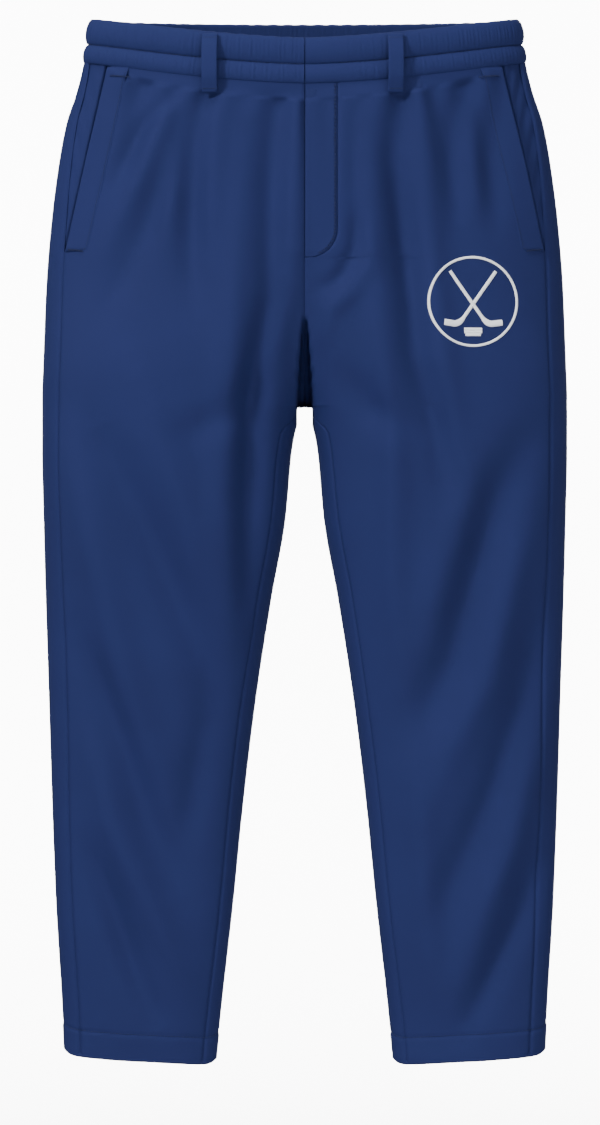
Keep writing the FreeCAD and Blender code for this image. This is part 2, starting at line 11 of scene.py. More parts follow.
import bmesh
import bpy
import numpy as np
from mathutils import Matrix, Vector


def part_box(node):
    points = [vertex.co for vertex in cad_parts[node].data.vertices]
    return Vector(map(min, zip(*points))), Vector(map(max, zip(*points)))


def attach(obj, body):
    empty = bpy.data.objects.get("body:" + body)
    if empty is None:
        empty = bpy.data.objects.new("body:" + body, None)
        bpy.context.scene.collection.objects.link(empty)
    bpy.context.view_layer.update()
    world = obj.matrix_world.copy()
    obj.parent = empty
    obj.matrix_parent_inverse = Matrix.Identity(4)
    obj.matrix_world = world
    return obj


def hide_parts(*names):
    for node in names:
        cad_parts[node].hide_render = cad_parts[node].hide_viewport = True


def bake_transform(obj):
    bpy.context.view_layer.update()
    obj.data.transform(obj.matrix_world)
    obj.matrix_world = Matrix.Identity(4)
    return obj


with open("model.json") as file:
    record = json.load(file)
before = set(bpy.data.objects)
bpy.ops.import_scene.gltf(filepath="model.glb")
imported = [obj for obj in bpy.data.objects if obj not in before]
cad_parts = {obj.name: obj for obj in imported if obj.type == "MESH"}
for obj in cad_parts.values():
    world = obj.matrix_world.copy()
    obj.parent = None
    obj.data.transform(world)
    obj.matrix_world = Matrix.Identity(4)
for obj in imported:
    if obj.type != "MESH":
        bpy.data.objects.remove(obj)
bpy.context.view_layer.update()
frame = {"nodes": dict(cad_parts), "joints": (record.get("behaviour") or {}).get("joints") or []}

bl_info = {
    "name": "Team trousers",
    "version": (1, 0, 0),
    "blender": (4, 5, 0),
    "location": "3D View > Sidebar > Trousers",
    "description": "Builds the cloth, trim and stage of a pair of team trousers",
    "category": "Object",
}

MM = 0.001
LEFT, RIGHT = 1, -1
BAND_FOOT = 41.5  # the drop of the waist seam at the sides and back
BAND_HALF, BAND_DEEP = 206, 50  # the band's half-width and half-depth at its top edge
FRONT_DIP = 24.0  # how much lower it lies at the middle of the front
TOP_DIP = 22.0
FLY_WIDTH = 31.0
FLY_END = 231.0
FORK = 371.0
FORK_TOP = 286.0  # where the front seam starts to sink between the legs
FORK_EASE = 26  # how far below the fork the panels take to reach the inseam
HEM = 1000.0
MOUTH_TOP = (188.0, 48.0)  # the pocket mouth's upper end, across and down
MOUTH_LOW = (227.0, 220.0)
EMBLEM = (159.6, 272.5)
EMBLEM_RADIUS = 43.5


# ---------------------------------------------------------------- settings


class ClothSettings(bpy.types.PropertyGroup):
    colour: bpy.props.FloatVectorProperty(
        name="Cloth", description="Colour of the knit", subtype="COLOR", size=3, min=0, max=1,
        default=(0.0087, 0.0136, 0.0590),
    )
    band_colour: bpy.props.FloatVectorProperty(
        name="Waistband", description="Colour of the gathered waistband", subtype="COLOR", size=3, min=0,
        max=1, default=(0.0092, 0.0145, 0.0620),
    )
    thickness: bpy.props.FloatProperty(
        name="Thickness", description="Thickness of the cloth", default=0.0009, min=0.0003, max=0.003,
        unit="LENGTH",
    )
    fold_strength: bpy.props.FloatProperty(
        name="Folds", description="Height of the folds against their drawn height", default=1.9, min=0, max=3
    )
    gather_height: bpy.props.FloatProperty(
        name="Gathers", description="Height of the waistband's gathers", default=0.0008, min=0, max=0.004,
        unit="LENGTH",
    )


class TrimSettings(bpy.types.PropertyGroup):
    thread: bpy.props.FloatVectorProperty(
        name="Thread", description="Colour of the stitching", subtype="COLOR", size=3, min=0, max=1,
        default=(0.0072, 0.0115, 0.0470),
    )
    emblem: bpy.props.FloatVectorProperty(
        name="Emblem", description="Colour of the embroidery", subtype="COLOR", size=3, min=0, max=1,
        default=(0.72, 0.74, 0.77),
    )
    stitch_length: bpy.props.FloatProperty(
        name="Stitch", description="Length of one topstitch", default=0.0026, min=0.001, max=0.006,
        unit="LENGTH",
    )
    metal: bpy.props.FloatVectorProperty(
        name="Zip metal", description="Colour of the enamelled zip", subtype="COLOR", size=3, min=0, max=1,
        default=(0.018, 0.034, 0.105),
    )


class StageSettings(bpy.types.PropertyGroup):
    distance: bpy.props.FloatProperty(
        name="Distance", description="Distance of the camera from the garment", default=5.0, min=2, max=12,
        unit="LENGTH",
    )
    view_height: bpy.props.FloatProperty(
        name="View height", description="Height of what the camera sees at the garment", default=1.073,
        min=0.5, max=3, unit="LENGTH",
    )
    backdrop: bpy.props.FloatVectorProperty(
        name="Backdrop", description="Colour of the floor and backdrop", subtype="COLOR", size=3, min=0,
        max=1, default=(0.985, 0.985, 0.985),
    )


def cloth_settings():
    return bpy.context.scene.trousers_cloth


def trim_settings():
    return bpy.context.scene.trousers_trim


# ---------------------------------------------------------------- the tubes

# Cross-sections from the waist to the hem: drop, inner edge, outer edge, depth in front and depth behind.
LEG = np.array(
    [
        (0, -206, 206, 50, 50),
        (41.5, -212, 212, 50, 50),
        (70, -219, 219, 51.3, 54),
        (100, -229, 229, 52.6, 60),
        (150, -238, 238, 55, 68),
        (200, -244, 244, 57, 72),
        (250, -190, 248, 59.5, 73.5),
        (285, -110, 249.5, 60.7, 73),
        (330, -36, 251, 61.5, 70),
        (362, -7, 252, 60, 66),
        (372, -0.5, 252, 59.6, 65.3),
        (390, 7.5, 252, 58.7, 63.6),
        (412, 12, 252, 57.5, 62),
        (480, 18.5, 250.5, 54, 57),
        (556, 32, 248.5, 49, 52),
        (650, 46.5, 245.5, 43, 46),
        (748, 58.5, 242.5, 37.5, 41),
        (850, 68.8, 238.5, 32, 35),
        (940, 79, 233, 27.5, 30),
        (1004, 85.5, 230, 24, 27),
    ],
    float,
)
SEAM_INSET = np.array([(41.5, 5), (100, 10), (200, 15), (300, 17), (600, 17.5), (1000, 15.5)], float)
INSEAM_INSET = 12.5


def smooth_step(value):
    t = np.clip(value, 0, 1)
    return t * t * (3 - 2 * t)


def smooth_through(table, at):
    """Every column of a table at the given first-column values, on a curve that never overshoots."""
    x, y = table[:, 0], table[:, 1:]
    step, rise = np.diff(x)[:, None], np.diff(y, axis=0)
    slope = rise / step
    tangent = np.zeros_like(y)
    same_way = slope[1:] * slope[:-1] > 0
    mean = 2 * slope[1:] * slope[:-1] / np.where(same_way, slope[1:] + slope[:-1], 1)
    tangent[1:-1] = np.where(same_way, mean, 0)
    tangent[0], tangent[-1] = slope[0], slope[-1]
    at = np.clip(np.asarray(at, float), x[0], x[-1])
    i = np.clip(np.searchsorted(x, at, side="right") - 1, 0, len(x) - 2)
    width = (x[i + 1] - x[i])[..., None]
    t = ((at - x[i])[..., None]) / width
    curve = (2 * t**3 - 3 * t**2 + 1) * y[i] + (t**3 - 2 * t**2 + t) * width * tangent[i]
    return curve + (3 * t**2 - 2 * t**3) * y[i + 1] + (t**3 - t**2) * width * tangent[i + 1]


def section(drop):
    """Half-width, half-depth and centre of a tube, in millimetres."""
    inner, outer, front, back = np.moveaxis(smooth_through(LEG, drop), -1, 0)
    return (outer - inner) / 2, (front + back) / 2, (outer + inner) / 2, (back - front) / 2


def outer_edge(drop):
    return smooth_through(LEG, drop)[..., 1]


def inner_edge(drop):
    return smooth_through(LEG, drop)[..., 0]


def squareness(drop):
    """1 gives an ellipse. Less makes the tube fuller towards its edges."""
    return 1 - 0.16 * smooth_step((np.asarray(drop, float) - 240) / 110)


def angle_at(across, drop):
    """The angle in front where the tube is that far across."""
    half, _, centre, _ = section(drop)
    share = np.clip((across - centre) / half, -0.99999, 0.99999)
    power = 1 / squareness(drop)
    return np.arccos(np.sign(share) * np.abs(share) ** power)


def seam_line(across):
    """The drop of the front's waist seam."""
    return BAND_FOOT + FRONT_DIP * (1 - np.clip(np.abs(across) / 209, 0, 1) ** 1.6)


def top_line(across):
    return TOP_DIP * (1 - np.clip(np.abs(across) / 206, 0, 1) ** 1.5)


# ---------------------------------------------------------------- folds


def stroke_field(across, drop, strokes):
    """Height in millimetres that a list of folds adds. Each fold is its points, its width and its height,
    which is below 0 for a hollow."""
    height = np.zeros(np.broadcast(across, drop).shape)
    for points, width, rise in strokes:
        best = np.full(height.shape, 1e9)
        along = np.zeros(height.shape)
        spans = [math.dist(p, q) for p, q in zip(points, points[1:])]
        total, passed = sum(spans), 0.0
        for (ax, ad), (bx, bd), span in zip(points, points[1:], spans):
            ux, ud = (bx - ax) / span, (bd - ad) / span
            t = np.clip((across - ax) * ux + (drop - ad) * ud, 0, span)
            dx, dd = across - (ax + ux * t), drop - (ad + ud * t)
            distance = np.hypot(dx, dd)
            nearer = distance < best
            best = np.where(nearer, distance, best)
            along = np.where(nearer, (passed + t) / total, along)
            passed += span
        fade = np.sin(np.pi * np.clip(along * 0.94 + 0.03, 0, 1)) ** 0.7
        height += rise * fade * np.exp(-((best / width) ** 2))
    return height


def waves(across, drop, seed, length, height):
    """A low, gentle unevenness made of a few crossed waves."""
    total = np.zeros(np.broadcast(across, drop).shape)
    for i in range(5):
        turn = seed + 1.7 * i
        kx, kd = math.cos(turn) * (1 + 0.23 * i), math.sin(turn) * (0.55 + 0.11 * i)
        total += np.sin(2 * math.pi * (across * kx + drop * kd) / length + 2.3 * i + seed)
    return total * height / 5


def pleats(across, drop):
    """Soft pleats that fan down from the gathered waist seam and die out."""
    below = np.clip(drop - seam_line(across), 0, None)
    fade = np.exp(-below / 60) * smooth_step(below / 6)
    fan = np.abs(across) * (1 - 0.0012 * below)
    ripple = np.sin(fan / 5.2 + 0.6 * np.sin(fan / 17)) * 0.75 + 0.55 * np.sin(fan / 8.9 + 1.1)
    middle = 1 - 0.75 * smooth_step((34 - across) / 8) * smooth_step((across + 6) / 8)
    return ripple * fade * smooth_step((196 - np.abs(across)) / 30) * middle


# Folds of the front as seen from in front: points (across, drop), width and height.
FRONT_FOLDS = [
    # from the waist of the wearer's right
    ([(-122, 62), (-156, 108), (-186, 165)], 9, -2.2),
    ([(-118, 64), (-150, 140), (-194, 232)], 11, 2.2),
    ([(-112, 66), (-130, 150), (-164, 230), (-196, 290)], 12, -2.2),
    ([(-128, 72), (-128, 160), (-130, 240)], 12, 2.0),
    ([(-108, 70), (-108, 190), (-106, 290)], 12, -3.0),
    ([(-88, 70), (-86, 160), (-86, 260)], 12, 2.2),
    ([(-60, 72), (-64, 190), (-70, 300), (-80, 460), (-72, 600)], 15, 3.6),
    ([(-33, 70), (-33, 270), (-46, 340), (-52, 460), (-54, 560)], 12, -4.6),
    ([(-10, 72), (-12, 180), (-10, 280)], 10, 2.0),
    # from the waist of the wearer's left
    ([(46, 72), (48, 160), (54, 240)], 8, -1.4),
    ([(62, 72), (64, 190), (72, 300), (85, 400), (84, 540), (92, 640)], 15, 3.6),
    ([(84, 70), (84, 134), (93, 192), (102, 270), (106, 326), (122, 384), (136, 460)], 12, -5.0),
    ([(108, 72), (112, 150), (122, 250), (132, 330), (150, 420)], 14, 3.2),
    ([(141, 72), (141, 134), (146, 200)], 11, -2.2),
    ([(160, 72), (160, 134), (164, 190)], 10, 1.8),
    ([(180, 72), (180, 134), (184, 200)], 11, -2.2),
    # under the fly and into the fork
    ([(50, 190), (47, 222), (38, 244), (26, 256), (12, 260)], 7, -2.6),
    ([(60, 200), (60, 236), (46, 262), (24, 282), (14, 320)], 9, 1.8),
    ([(-3, 225), (-3, 371)], 24, -5.0),
    ([(-24, 330), (-60, 372), (-120, 404)], 16, -2.4),
    ([(24, 330), (60, 372), (120, 404)], 16, -2.4),
    # from the outer thigh down across to the inner knee
    ([(-200, 392), (-166, 461), (-128, 538), (-94, 614), (-84, 664)], 20, -5.6),
    ([(-222, 400), (-207, 480), (-188, 560), (-160, 680), (-140, 740)], 19, 4.4),
    ([(-160, 330), (-140, 400), (-106, 490), (-96, 560)], 20, 3.4),
    ([(218, 392), (184, 461), (160, 538), (140, 614), (98, 691)], 20, -5.4),
    ([(214, 470), (192, 550), (170, 640), (138, 704), (120, 760)], 18, 4.2),
    ([(168, 400), (146, 480), (124, 560), (112, 620)], 18, 3.0),
    # from the outer knee down across to the hem
    ([(-214, 590), (-172, 691), (-148, 768), (-112, 840)], 16, -4.8),
    ([(-204, 690), (-185, 768), (-150, 845), (-112, 925)], 15, 4.0),
    ([(-208, 790), (-186, 845), (-158, 922), (-136, 966)], 13, -4.2),
    ([(-92, 650), (-104, 740), (-116, 800)], 16, -2.6),
    ([(228, 560), (206, 660), (180, 740), (150, 806), (124, 866)], 17, -4.4),
    ([(216, 700), (196, 790), (168, 860), (142, 940)], 16, 3.8),
    ([(222, 800), (204, 860), (172, 930), (152, 968)], 13, -3.6),
    ([(100, 650), (110, 760), (118, 880), (124, 950)], 15, 2.4),
]
# Folds of the back, mirrored onto both sides.
BACK_FOLDS = [
    ([(30, 60), (60, 160), (110, 260), (170, 320)], 26, -3.6),
    ([(70, 60), (110, 170), (170, 250)], 24, 3.4),
    ([(12, 300), (50, 350), (110, 390), (180, 420)], 18, -5.0),
    ([(14, 340), (60, 400), (130, 450)], 18, 4.4),
    ([(20, 380), (70, 450), (150, 520)], 18, -4.4),
    ([(60, 560), (110, 600), (180, 610), (230, 590)], 16, -4.6),
    ([(60, 600), (120, 640), (200, 650)], 16, 4.2),
    ([(70, 650), (130, 690), (220, 700)], 16, -3.8),
    ([(210, 700), (170, 800), (120, 900)], 22, 3.8),
    ([(90, 740), (130, 850), (190, 950)], 20, -3.6),
]


def fold_height(angle, across, drop, side):
    """How far the cloth stands out of its tube, in millimetres. It dies out at the outer and inner edges."""
    turned = np.sin(angle)
    fade = smooth_step(np.abs(turned) / 0.55)
    seen = across * side
    ahead = stroke_field(seen, drop, FRONT_FOLDS) + waves(seen, drop, 0.4, 210, 1.2)
    ahead = ahead + 2.3 * pleats(seen, drop)
    behind = stroke_field(across, drop, BACK_FOLDS) + waves(seen, drop, 2.1, 190, 1.2)
    height = np.where(turned > 0, ahead, behind) * fade
    settled = smooth_step((drop - 42) / 20) * smooth_step((HEM - 4 - drop) / 26 + 0.1)
    return height * settled * cloth_settings().fold_strength


def skin(angle, drop, depth, side, folds=True):
    """Points on one leg's tube, in metres. Depth is how far inside the cloth's outer face they lie."""
    angle, drop, depth = np.broadcast_arrays(np.asarray(angle, float), np.asarray(drop, float), depth)
    half, deep, centre, shift = section(drop)
    power = squareness(drop)
    c, s = np.cos(angle), np.sin(angle)
    ring_c = np.sign(c) * np.abs(c) ** power
    ring_s = np.sign(s) * np.abs(s) ** power
    out_x, out_y = ring_c / half, ring_s / deep
    length = np.hypot(out_x, out_y)
    out_x, out_y = out_x / length, out_y / length
    across = centre + half * ring_c
    lift = (fold_height(angle, across, drop, side) if folds else 0) - depth
    x = across + out_x * lift
    y = shift - deep * ring_s - out_y * lift
    return np.stack([side * x * MM, y * MM, -drop * MM], axis=-1)


# ---------------------------------------------------------------- mesh making


def new_object(name, mesh):
    made = bpy.data.objects.new(name, mesh)
    bpy.context.scene.collection.objects.link(made)
    return made


def mesh_object(name, points, faces, closed_skin=False):
    """A smooth-shaded object. The faces of a closed skin are all turned outward."""
    mesh = bpy.data.meshes.new(name)
    mesh.from_pydata(points, [], faces)
    if closed_skin:
        build = bmesh.new()
        build.from_mesh(mesh)
        bmesh.ops.recalc_face_normals(build, faces=build.faces)
        build.to_mesh(mesh)
        build.free()
    mesh.shade_smooth()
    mesh.update()
    return new_object(name, mesh)


def grid_faces(rows, columns, closed=False, flip=False):
    """Quads of a grid of points, row by row."""
    wide = columns if closed else columns - 1
    faces = []
    for i in range(rows - 1):
        for j in range(wide):
            k = (j + 1) % columns
            quad = (i * columns + j, i * columns + k, (i + 1) * columns + k, (i + 1) * columns + j)
            faces.append(quad[::-1] if flip else quad)
    return faces


def grid_object(name, points, closed=False, flip=False):
    """A smooth-shaded sheet from an array of rows and columns of points."""
    rows, columns = points.shape[:2]
    return mesh_object(name, points.reshape(-1, 3).tolist(), grid_faces(rows, columns, closed, flip))


def apply_modifiers(piece):
    """Leaves the piece as a plain mesh with its modifiers' result."""
    graph = bpy.context.evaluated_depsgraph_get()
    done = bpy.data.meshes.new_from_object(piece.evaluated_get(graph))
    piece.modifiers.clear()
    piece.data = done
    piece.data.shade_smooth()
    return piece


def thicken(piece, thickness):
    """Gives a sheet its thickness, behind its face."""
    solid = piece.modifiers.new("thickness", "SOLIDIFY")
    solid.thickness = thickness
    solid.offset = -1
    solid.use_even_offset = False
    return apply_modifiers(piece)


def joined(name, pieces):
    """One object from several."""
    mesh = bpy.data.meshes.new(name)
    build = bmesh.new()
    for piece in pieces:
        build.from_mesh(piece.data)
    build.to_mesh(mesh)
    build.free()
    mesh.shade_smooth()
    for piece in pieces:
        bpy.data.objects.remove(piece)
    return new_object(name, mesh)


def finish_piece(piece, material, body, slot, *nodes):
    """Sets a piece's material and body, and hides the nodes that it stands for. Its slot is not used."""
    piece.data.materials.clear()
    piece.data.materials.append(material)
    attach(piece, body)
    if nodes:
        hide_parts(*nodes)
    return piece


def stitch_row(name, path, out, length, gap=0.9 * MM, radius=0.28 * MM):
    """A row of thread stitches along a path of points, half sunk in the cloth whose normals are given."""
    path, out = np.asarray(path, float), np.asarray(out, float)
    steps = np.linalg.norm(np.diff(path, axis=0), axis=1)
    reach = np.concatenate([[0], np.cumsum(steps)])
    vertices, faces = [], []
    at, total = 0.0, reach[-1]
    while at + length < total:
        spots = [at + length * share for share in (0, 0.25, 0.5, 0.75, 1)]
        centre = np.stack([np.interp(spots, reach, path[:, k]) for k in range(3)], axis=-1)
        normal = np.stack([np.interp(spots, reach, out[:, k]) for k in range(3)], axis=-1)
        heading = centre[-1] - centre[0]
        heading = heading / max(np.linalg.norm(heading), 1e-9)
        side = np.cross(heading, normal[2])
        side = side / max(np.linalg.norm(side), 1e-9)
        first = len(vertices)
        for k, swell in enumerate((0.35, 0.95, 1.0, 0.95, 0.35)):
            sink = (-0.5, 0.15, 0.35, 0.15, -0.5)[k]
            for turn in range(6):
                angle = turn * math.pi / 3
                spot = centre[k] + side * math.cos(angle) * radius * swell
                spot = spot + normal[k] * (math.sin(angle) * radius * swell + sink * radius)
                vertices.append(spot.tolist())
        for k in range(4):
            for turn in range(6):
                a, b = first + k * 6 + turn, first + k * 6 + (turn + 1) % 6
                faces.append((a, b, b + 6, a + 6))
        faces.append(tuple(first + turn for turn in reversed(range(6))))
        faces.append(tuple(first + 24 + turn for turn in range(6)))
        at += length + gap
    return mesh_object(name, vertices, faces)


def skin_path(places, side, proud=0.15):
    """Points and outward normals on the front of the cloth along (across, drop) places."""
    across = np.array([place[0] for place in places], float)
    drop = np.array([place[1] for place in places], float)
    angle = angle_at(across, drop)
    face = skin(angle, drop, -proud, side)
    return face, (skin(angle, drop, -1 - proud, side) - face) / MM


def along_line(corners, step=2.0):
    """Places evenly spaced along straight runs between corners."""
    places = []
    for a, b in zip(corners, corners[1:]):
        count = max(int(math.dist(a, b) / step), 1)
        places += [(a[0] + (b[0] - a[0]) * i / count, a[1] + (b[1] - a[1]) * i / count) for i in range(count)]
    return places + [corners[-1]]


# ---------------------------------------------------------------- materials


class Value:
    """A number socket that takes part in arithmetic by adding Math nodes."""

    def __init__(self, maker, socket):
        self.maker, self.socket = maker, socket

    def _math(self, operation, *values):
        made = self.maker.node("ShaderNodeMath", {"operation": operation}, dict(enumerate(values)))
        return Value(self.maker, made.outputs[0])

    def __add__(self, other):
        return self._math("ADD", self, other)

    __radd__ = __add__

    def __sub__(self, other):
        return self._math("SUBTRACT", self, other)

    def __rsub__(self, other):
        return self._math("SUBTRACT", other, self)

    def __mul__(self, other):
        return self._math("MULTIPLY", self, other)

    __rmul__ = __mul__

    def sine(self):
        return self._math("SINE", self)

    def clamped(self):
        return self._math("MINIMUM", self._math("MAXIMUM", self, 0.0), 1.0)


class Maker:
    """Builds one material's nodes."""

    def __init__(self, name):
        self.material = bpy.data.materials.new(name)
        self.material.use_nodes = True
        self.tree = self.material.node_tree
        self.shader = self.tree.nodes["Principled BSDF"]

    def node(self, kind, settings=None, values=None):
        made = self.tree.nodes.new(kind)
        for key, setting in (settings or {}).items():
            if key == "stops":
                for stop, (place, colour) in zip(made.color_ramp.elements, setting):
                    stop.position, stop.color = place, (*colour, 1)
            else:
                setattr(made, key, setting)
        for key, value in (values or {}).items():
            self.feed(made.inputs[key], value)
        return made

    def feed(self, socket, value):
        if isinstance(value, Value):
            value = value.socket
        if isinstance(value, bpy.types.NodeSocket):
            self.tree.links.new(value, socket)
        else:
            socket.default_value = value

    def place(self):
        """The three coordinates of a spot on the object, in metres."""
        spot = self.node("ShaderNodeTexCoord").outputs["Object"]
        parts = self.node("ShaderNodeSeparateXYZ", values={0: spot})
        return spot, [Value(self, out) for out in parts.outputs]

    def noise(self, spot, scale, detail=2.0, roughness=0.5):
        made = self.node("ShaderNodeTexNoise", values={"Vector": spot, "Scale": scale, "Detail": detail,
                                                       "Roughness": roughness})
        return Value(self, made.outputs["Fac"])

    def mix_colour(self, factor, first, second):
        made = self.node("ShaderNodeMix", {"data_type": "RGBA"},
                         {0: factor, 6: (*first, 1) if isinstance(first, tuple) else first,
                          7: (*second, 1) if isinstance(second, tuple) else second})
        return made.outputs[2]

    def bump(self, height, strength, distance):
        values = {"Strength": strength, "Distance": distance, "Height": height}
        made = self.node("ShaderNodeBump", values=values)
        self.feed(self.shader.inputs["Normal"], made.outputs[0])

    def set(self, **values):
        for name, value in values.items():
            self.feed(self.shader.inputs[name.replace("_", " ")], value)
        return self.material


class SkyMaker(Maker):
    """Builds the nodes of the room's light."""

    def __init__(self, world):
        world.use_nodes = True
        self.tree = world.node_tree
        self.shader = self.tree.nodes["Background"]


def shade(colour, factor):
    return tuple(min(channel * factor, 1.0) for channel in colour)


def knit(name, colour, rib=1150.0, sheen=0.07, depth=0.35 * MM):
    """Dense polyester knit: fine diagonal ribs of loops, a soft bloom and a faintly mottled colour."""
    maker = Maker(name)
    spot, (x, y, z) = maker.place()
    across = x + y * 0.8
    wale = (across * (2 * math.pi * rib)).sine()
    course = (z * (2 * math.pi * rib * 0.8) + across * (math.pi * rib)).sine()
    loops = (wale * course) * 0.5 + 0.5
    slub = maker.noise(spot, 900.0, 3.0, 0.6)
    cloud = maker.noise(spot, 9.0, 3.0, 0.55)
    tone = maker.mix_colour(loops * 0.55 + slub * 0.35, shade(colour, 0.80), shade(colour, 1.18))
    mottled = maker.mix_colour((cloud - 0.35) * 1.4, tone, shade(colour, 1.12))
    maker.bump(loops * 0.6 + slub * 0.4, 0.55, depth)
    return maker.set(
        Base_Color=mottled, Roughness=(slub * 0.16 + 0.70).clamped(), Sheen_Weight=sheen,
        Sheen_Roughness=0.38, Sheen_Tint=(*shade(colour, 3.2), 1), Specular_IOR_Level=0.08,
    )


def thread_material(name, colour, pitch, roughness=0.5, sheen=0.04):
    """Twisted or satin-laid thread: fine parallel strands with a silky sheen."""
    maker = Maker(name)
    spot, (x, _, z) = maker.place()
    strand = ((x + z) * (2 * math.pi * pitch)).sine() * 0.5 + 0.5
    fuzz = maker.noise(spot, 1400.0, 2.0)
    tone = maker.mix_colour(strand * 0.6 + fuzz * 0.4, shade(colour, 0.72), shade(colour, 1.12))
    maker.bump(strand * 0.7 + fuzz * 0.3, 0.7, 0.25 * MM)
    return maker.set(
        Base_Color=tone, Roughness=roughness, Sheen_Weight=sheen, Sheen_Roughness=0.3,
        Specular_IOR_Level=0.15,
    )


def metal_material(name, colour, metallic, roughness, coat):
    """Cast or pressed metal with fine scratches, under enamel where it has a coat."""
    maker = Maker(name)
    spot, _ = maker.place()
    grain = maker.noise(spot, 700.0, 4.0, 0.7)
    wear = maker.noise(spot, 160.0, 3.0)
    tone = maker.mix_colour(wear * 0.8, shade(colour, 0.85), shade(colour, 1.25))
    maker.bump(grain, 0.15, 0.05 * MM)
    return maker.set(Base_Color=tone, Metallic=metallic, Roughness=grain * 0.18 + roughness, Coat_Weight=coat)


MATERIALS = {}


def material(name):
    """The object's own finishes, each made once."""
    if name in MATERIALS:
        return MATERIALS[name]
    cloth, trim = cloth_settings(), trim_settings()
    body, band = tuple(cloth.colour), tuple(cloth.band_colour)
    makers = {
        "knit": lambda: knit("trouser_knit", body),
        "band_knit": lambda: knit("band_knit", band),
        "lining": lambda: knit("pocket_lining", shade(body, 0.92), rib=1500.0, sheen=0.15, depth=0.15 * MM),
        "webbing": lambda: knit("elastic_webbing", (0.55, 0.55, 0.53), rib=600.0, sheen=0.1, depth=0.4 * MM),
        "zip_tape": lambda: knit("zip_tape_weave", shade(body, 0.75), rib=1700.0, sheen=0.1, depth=0.15 * MM),
        "coil": lambda: metal_material("nylon_coil", shade(body, 0.7), 0.0, 0.35, 0.2),
        "thread": lambda: thread_material("topstitch_thread", tuple(trim.thread), 1800.0),
        "embroidery": lambda: thread_material("embroidery_thread", tuple(trim.emblem), 1300.0, 0.42, 0.2),
        "enamel": lambda: metal_material("navy_enamel", tuple(trim.metal), 0.55, 0.28, 0.6),
        "nickel": lambda: metal_material("nickel_plate", (0.62, 0.61, 0.58), 1.0, 0.22, 0.0),
        "backdrop": backdrop_material,
    }
    MATERIALS[name] = makers[name]()
    return MATERIALS[name]


def backdrop_material():
    """Matt pale paper. Its back is clear, so that the garment can be looked at from behind the wall."""
    maker = Maker("backdrop")
    paper = maker.set(Base_Color=(*bpy.context.scene.trousers_stage.backdrop, 1), Roughness=0.9)
    away = maker.node("ShaderNodeNewGeometry").outputs["Backfacing"]
    clear = maker.node("ShaderNodeBsdfTransparent").outputs[0]
    mixed = maker.node("ShaderNodeMixShader", values={0: away, 1: maker.shader.outputs[0], 2: clear})
    maker.feed(maker.tree.nodes["Material Output"].inputs["Surface"], mixed.outputs[0])
    return paper


# ---------------------------------------------------------------- panels


def spaced(low, high, step, edge=(0, 0.7, 1.5, 2.5, 4.0, 6.0)):
    """Places from low to high, about a step apart and closer near both ends."""
    near = [low + gap for gap in edge]
    far = [high - gap for gap in reversed(edge)]
    middle = max(int((far[0] - near[-1]) / step), 2)
    return np.array([*near, *np.linspace(near[-1], far[0], middle + 1)[1:-1], *far])


def shares(width, count, gaps=(0.7, 1.5, 2.5, 4.0, 6.0)):
    """Shares from 0 to 1 across a strip of a given width, closer at both ends."""
    near = [gap / width for gap in gaps]
    middle = np.linspace(near[-1], 1 - near[-1], count)
    return np.array([0, *near[:-1], *middle, *[1 - gap for gap in reversed(near[:-1])], 1])


def panel_rows(upper):
    """The drops of a panel's rows: its own upper ones, then close rows at the fork and at the hem."""
    return np.unique(np.concatenate([
        *upper, np.arange(330, 370, 2.0), [370, FORK, FORK + 0.6, 373, 374.5], np.arange(376, 392, 2.0),
        np.arange(392, 960, 5.0), np.arange(960, 1001, 2.0), [1001.0],
    ]))


def side_edge(drop):
    """How far across the side seam lies, on the front."""
    drop = np.asarray(drop, float)
    return outer_edge(drop) - np.interp(drop, SEAM_INSET[:, 0], SEAM_INSET[:, 1])


def mouth_edge(drop):
    """How far across the pocket mouth lies at a drop."""
    share = (np.asarray(drop, float) - MOUTH_TOP[1]) / (MOUTH_LOW[1] - MOUTH_TOP[1])
    return MOUTH_TOP[0] + (MOUTH_LOW[0] - MOUTH_TOP[0]) * np.clip(share, -0.1, 1.1)


def front_outer(drop):
    """The front panel's outer edge: the pocket mouth, then the side seam."""
    below = smooth_step((drop - MOUTH_LOW[1] + 2) / 5)
    return mouth_edge(drop) * (1 - below) + side_edge(drop) * below


def inner_angle(drop):
    """The angle where the front panel ends: the middle of the body above the fork, the inseam below it."""
    drop = np.asarray(drop, float)
    middle = angle_at(np.zeros_like(drop), drop)
    inseam = angle_at(inner_edge(drop) + INSEAM_INSET, drop)
    below = smooth_step((drop - FORK + 0.3) / FORK_EASE)
    return np.where(drop < FORK + 0.3, middle, (1 - below) * np.pi * 0.985 + below * inseam)


def steady_angle(drop):
    """The same without the step at the fork, where the panel's edge jumps from one seam to another."""
    drop = np.asarray(drop, float)
    middle = angle_at(np.zeros_like(drop), np.minimum(drop, FORK))
    inseam = angle_at(inner_edge(drop) + INSEAM_INSET, drop)
    below = smooth_step((drop - FORK + 0.3) / FORK_EASE)
    return np.where(drop < FORK + 0.3, middle, (1 - below) * middle + below * inseam)


def hem_drop(angle, drop_share):
    """Where a row lies at an angle round the leg. The last rows tilt and round off at the hem."""
    outward = (1 + np.cos(angle)) / 2
    round_off = 5.5 * np.abs(np.cos(angle)) ** 16
    lift = 9.5 * outward**1.2 + round_off
    return drop_share - lift * smooth_step((drop_share - (HEM - 40)) / 40)


def seam_dip(distance, depth, width):
    """How far cloth sinks into a seam, by its distance from it."""
    return depth * np.exp(-((distance / width) ** 2))


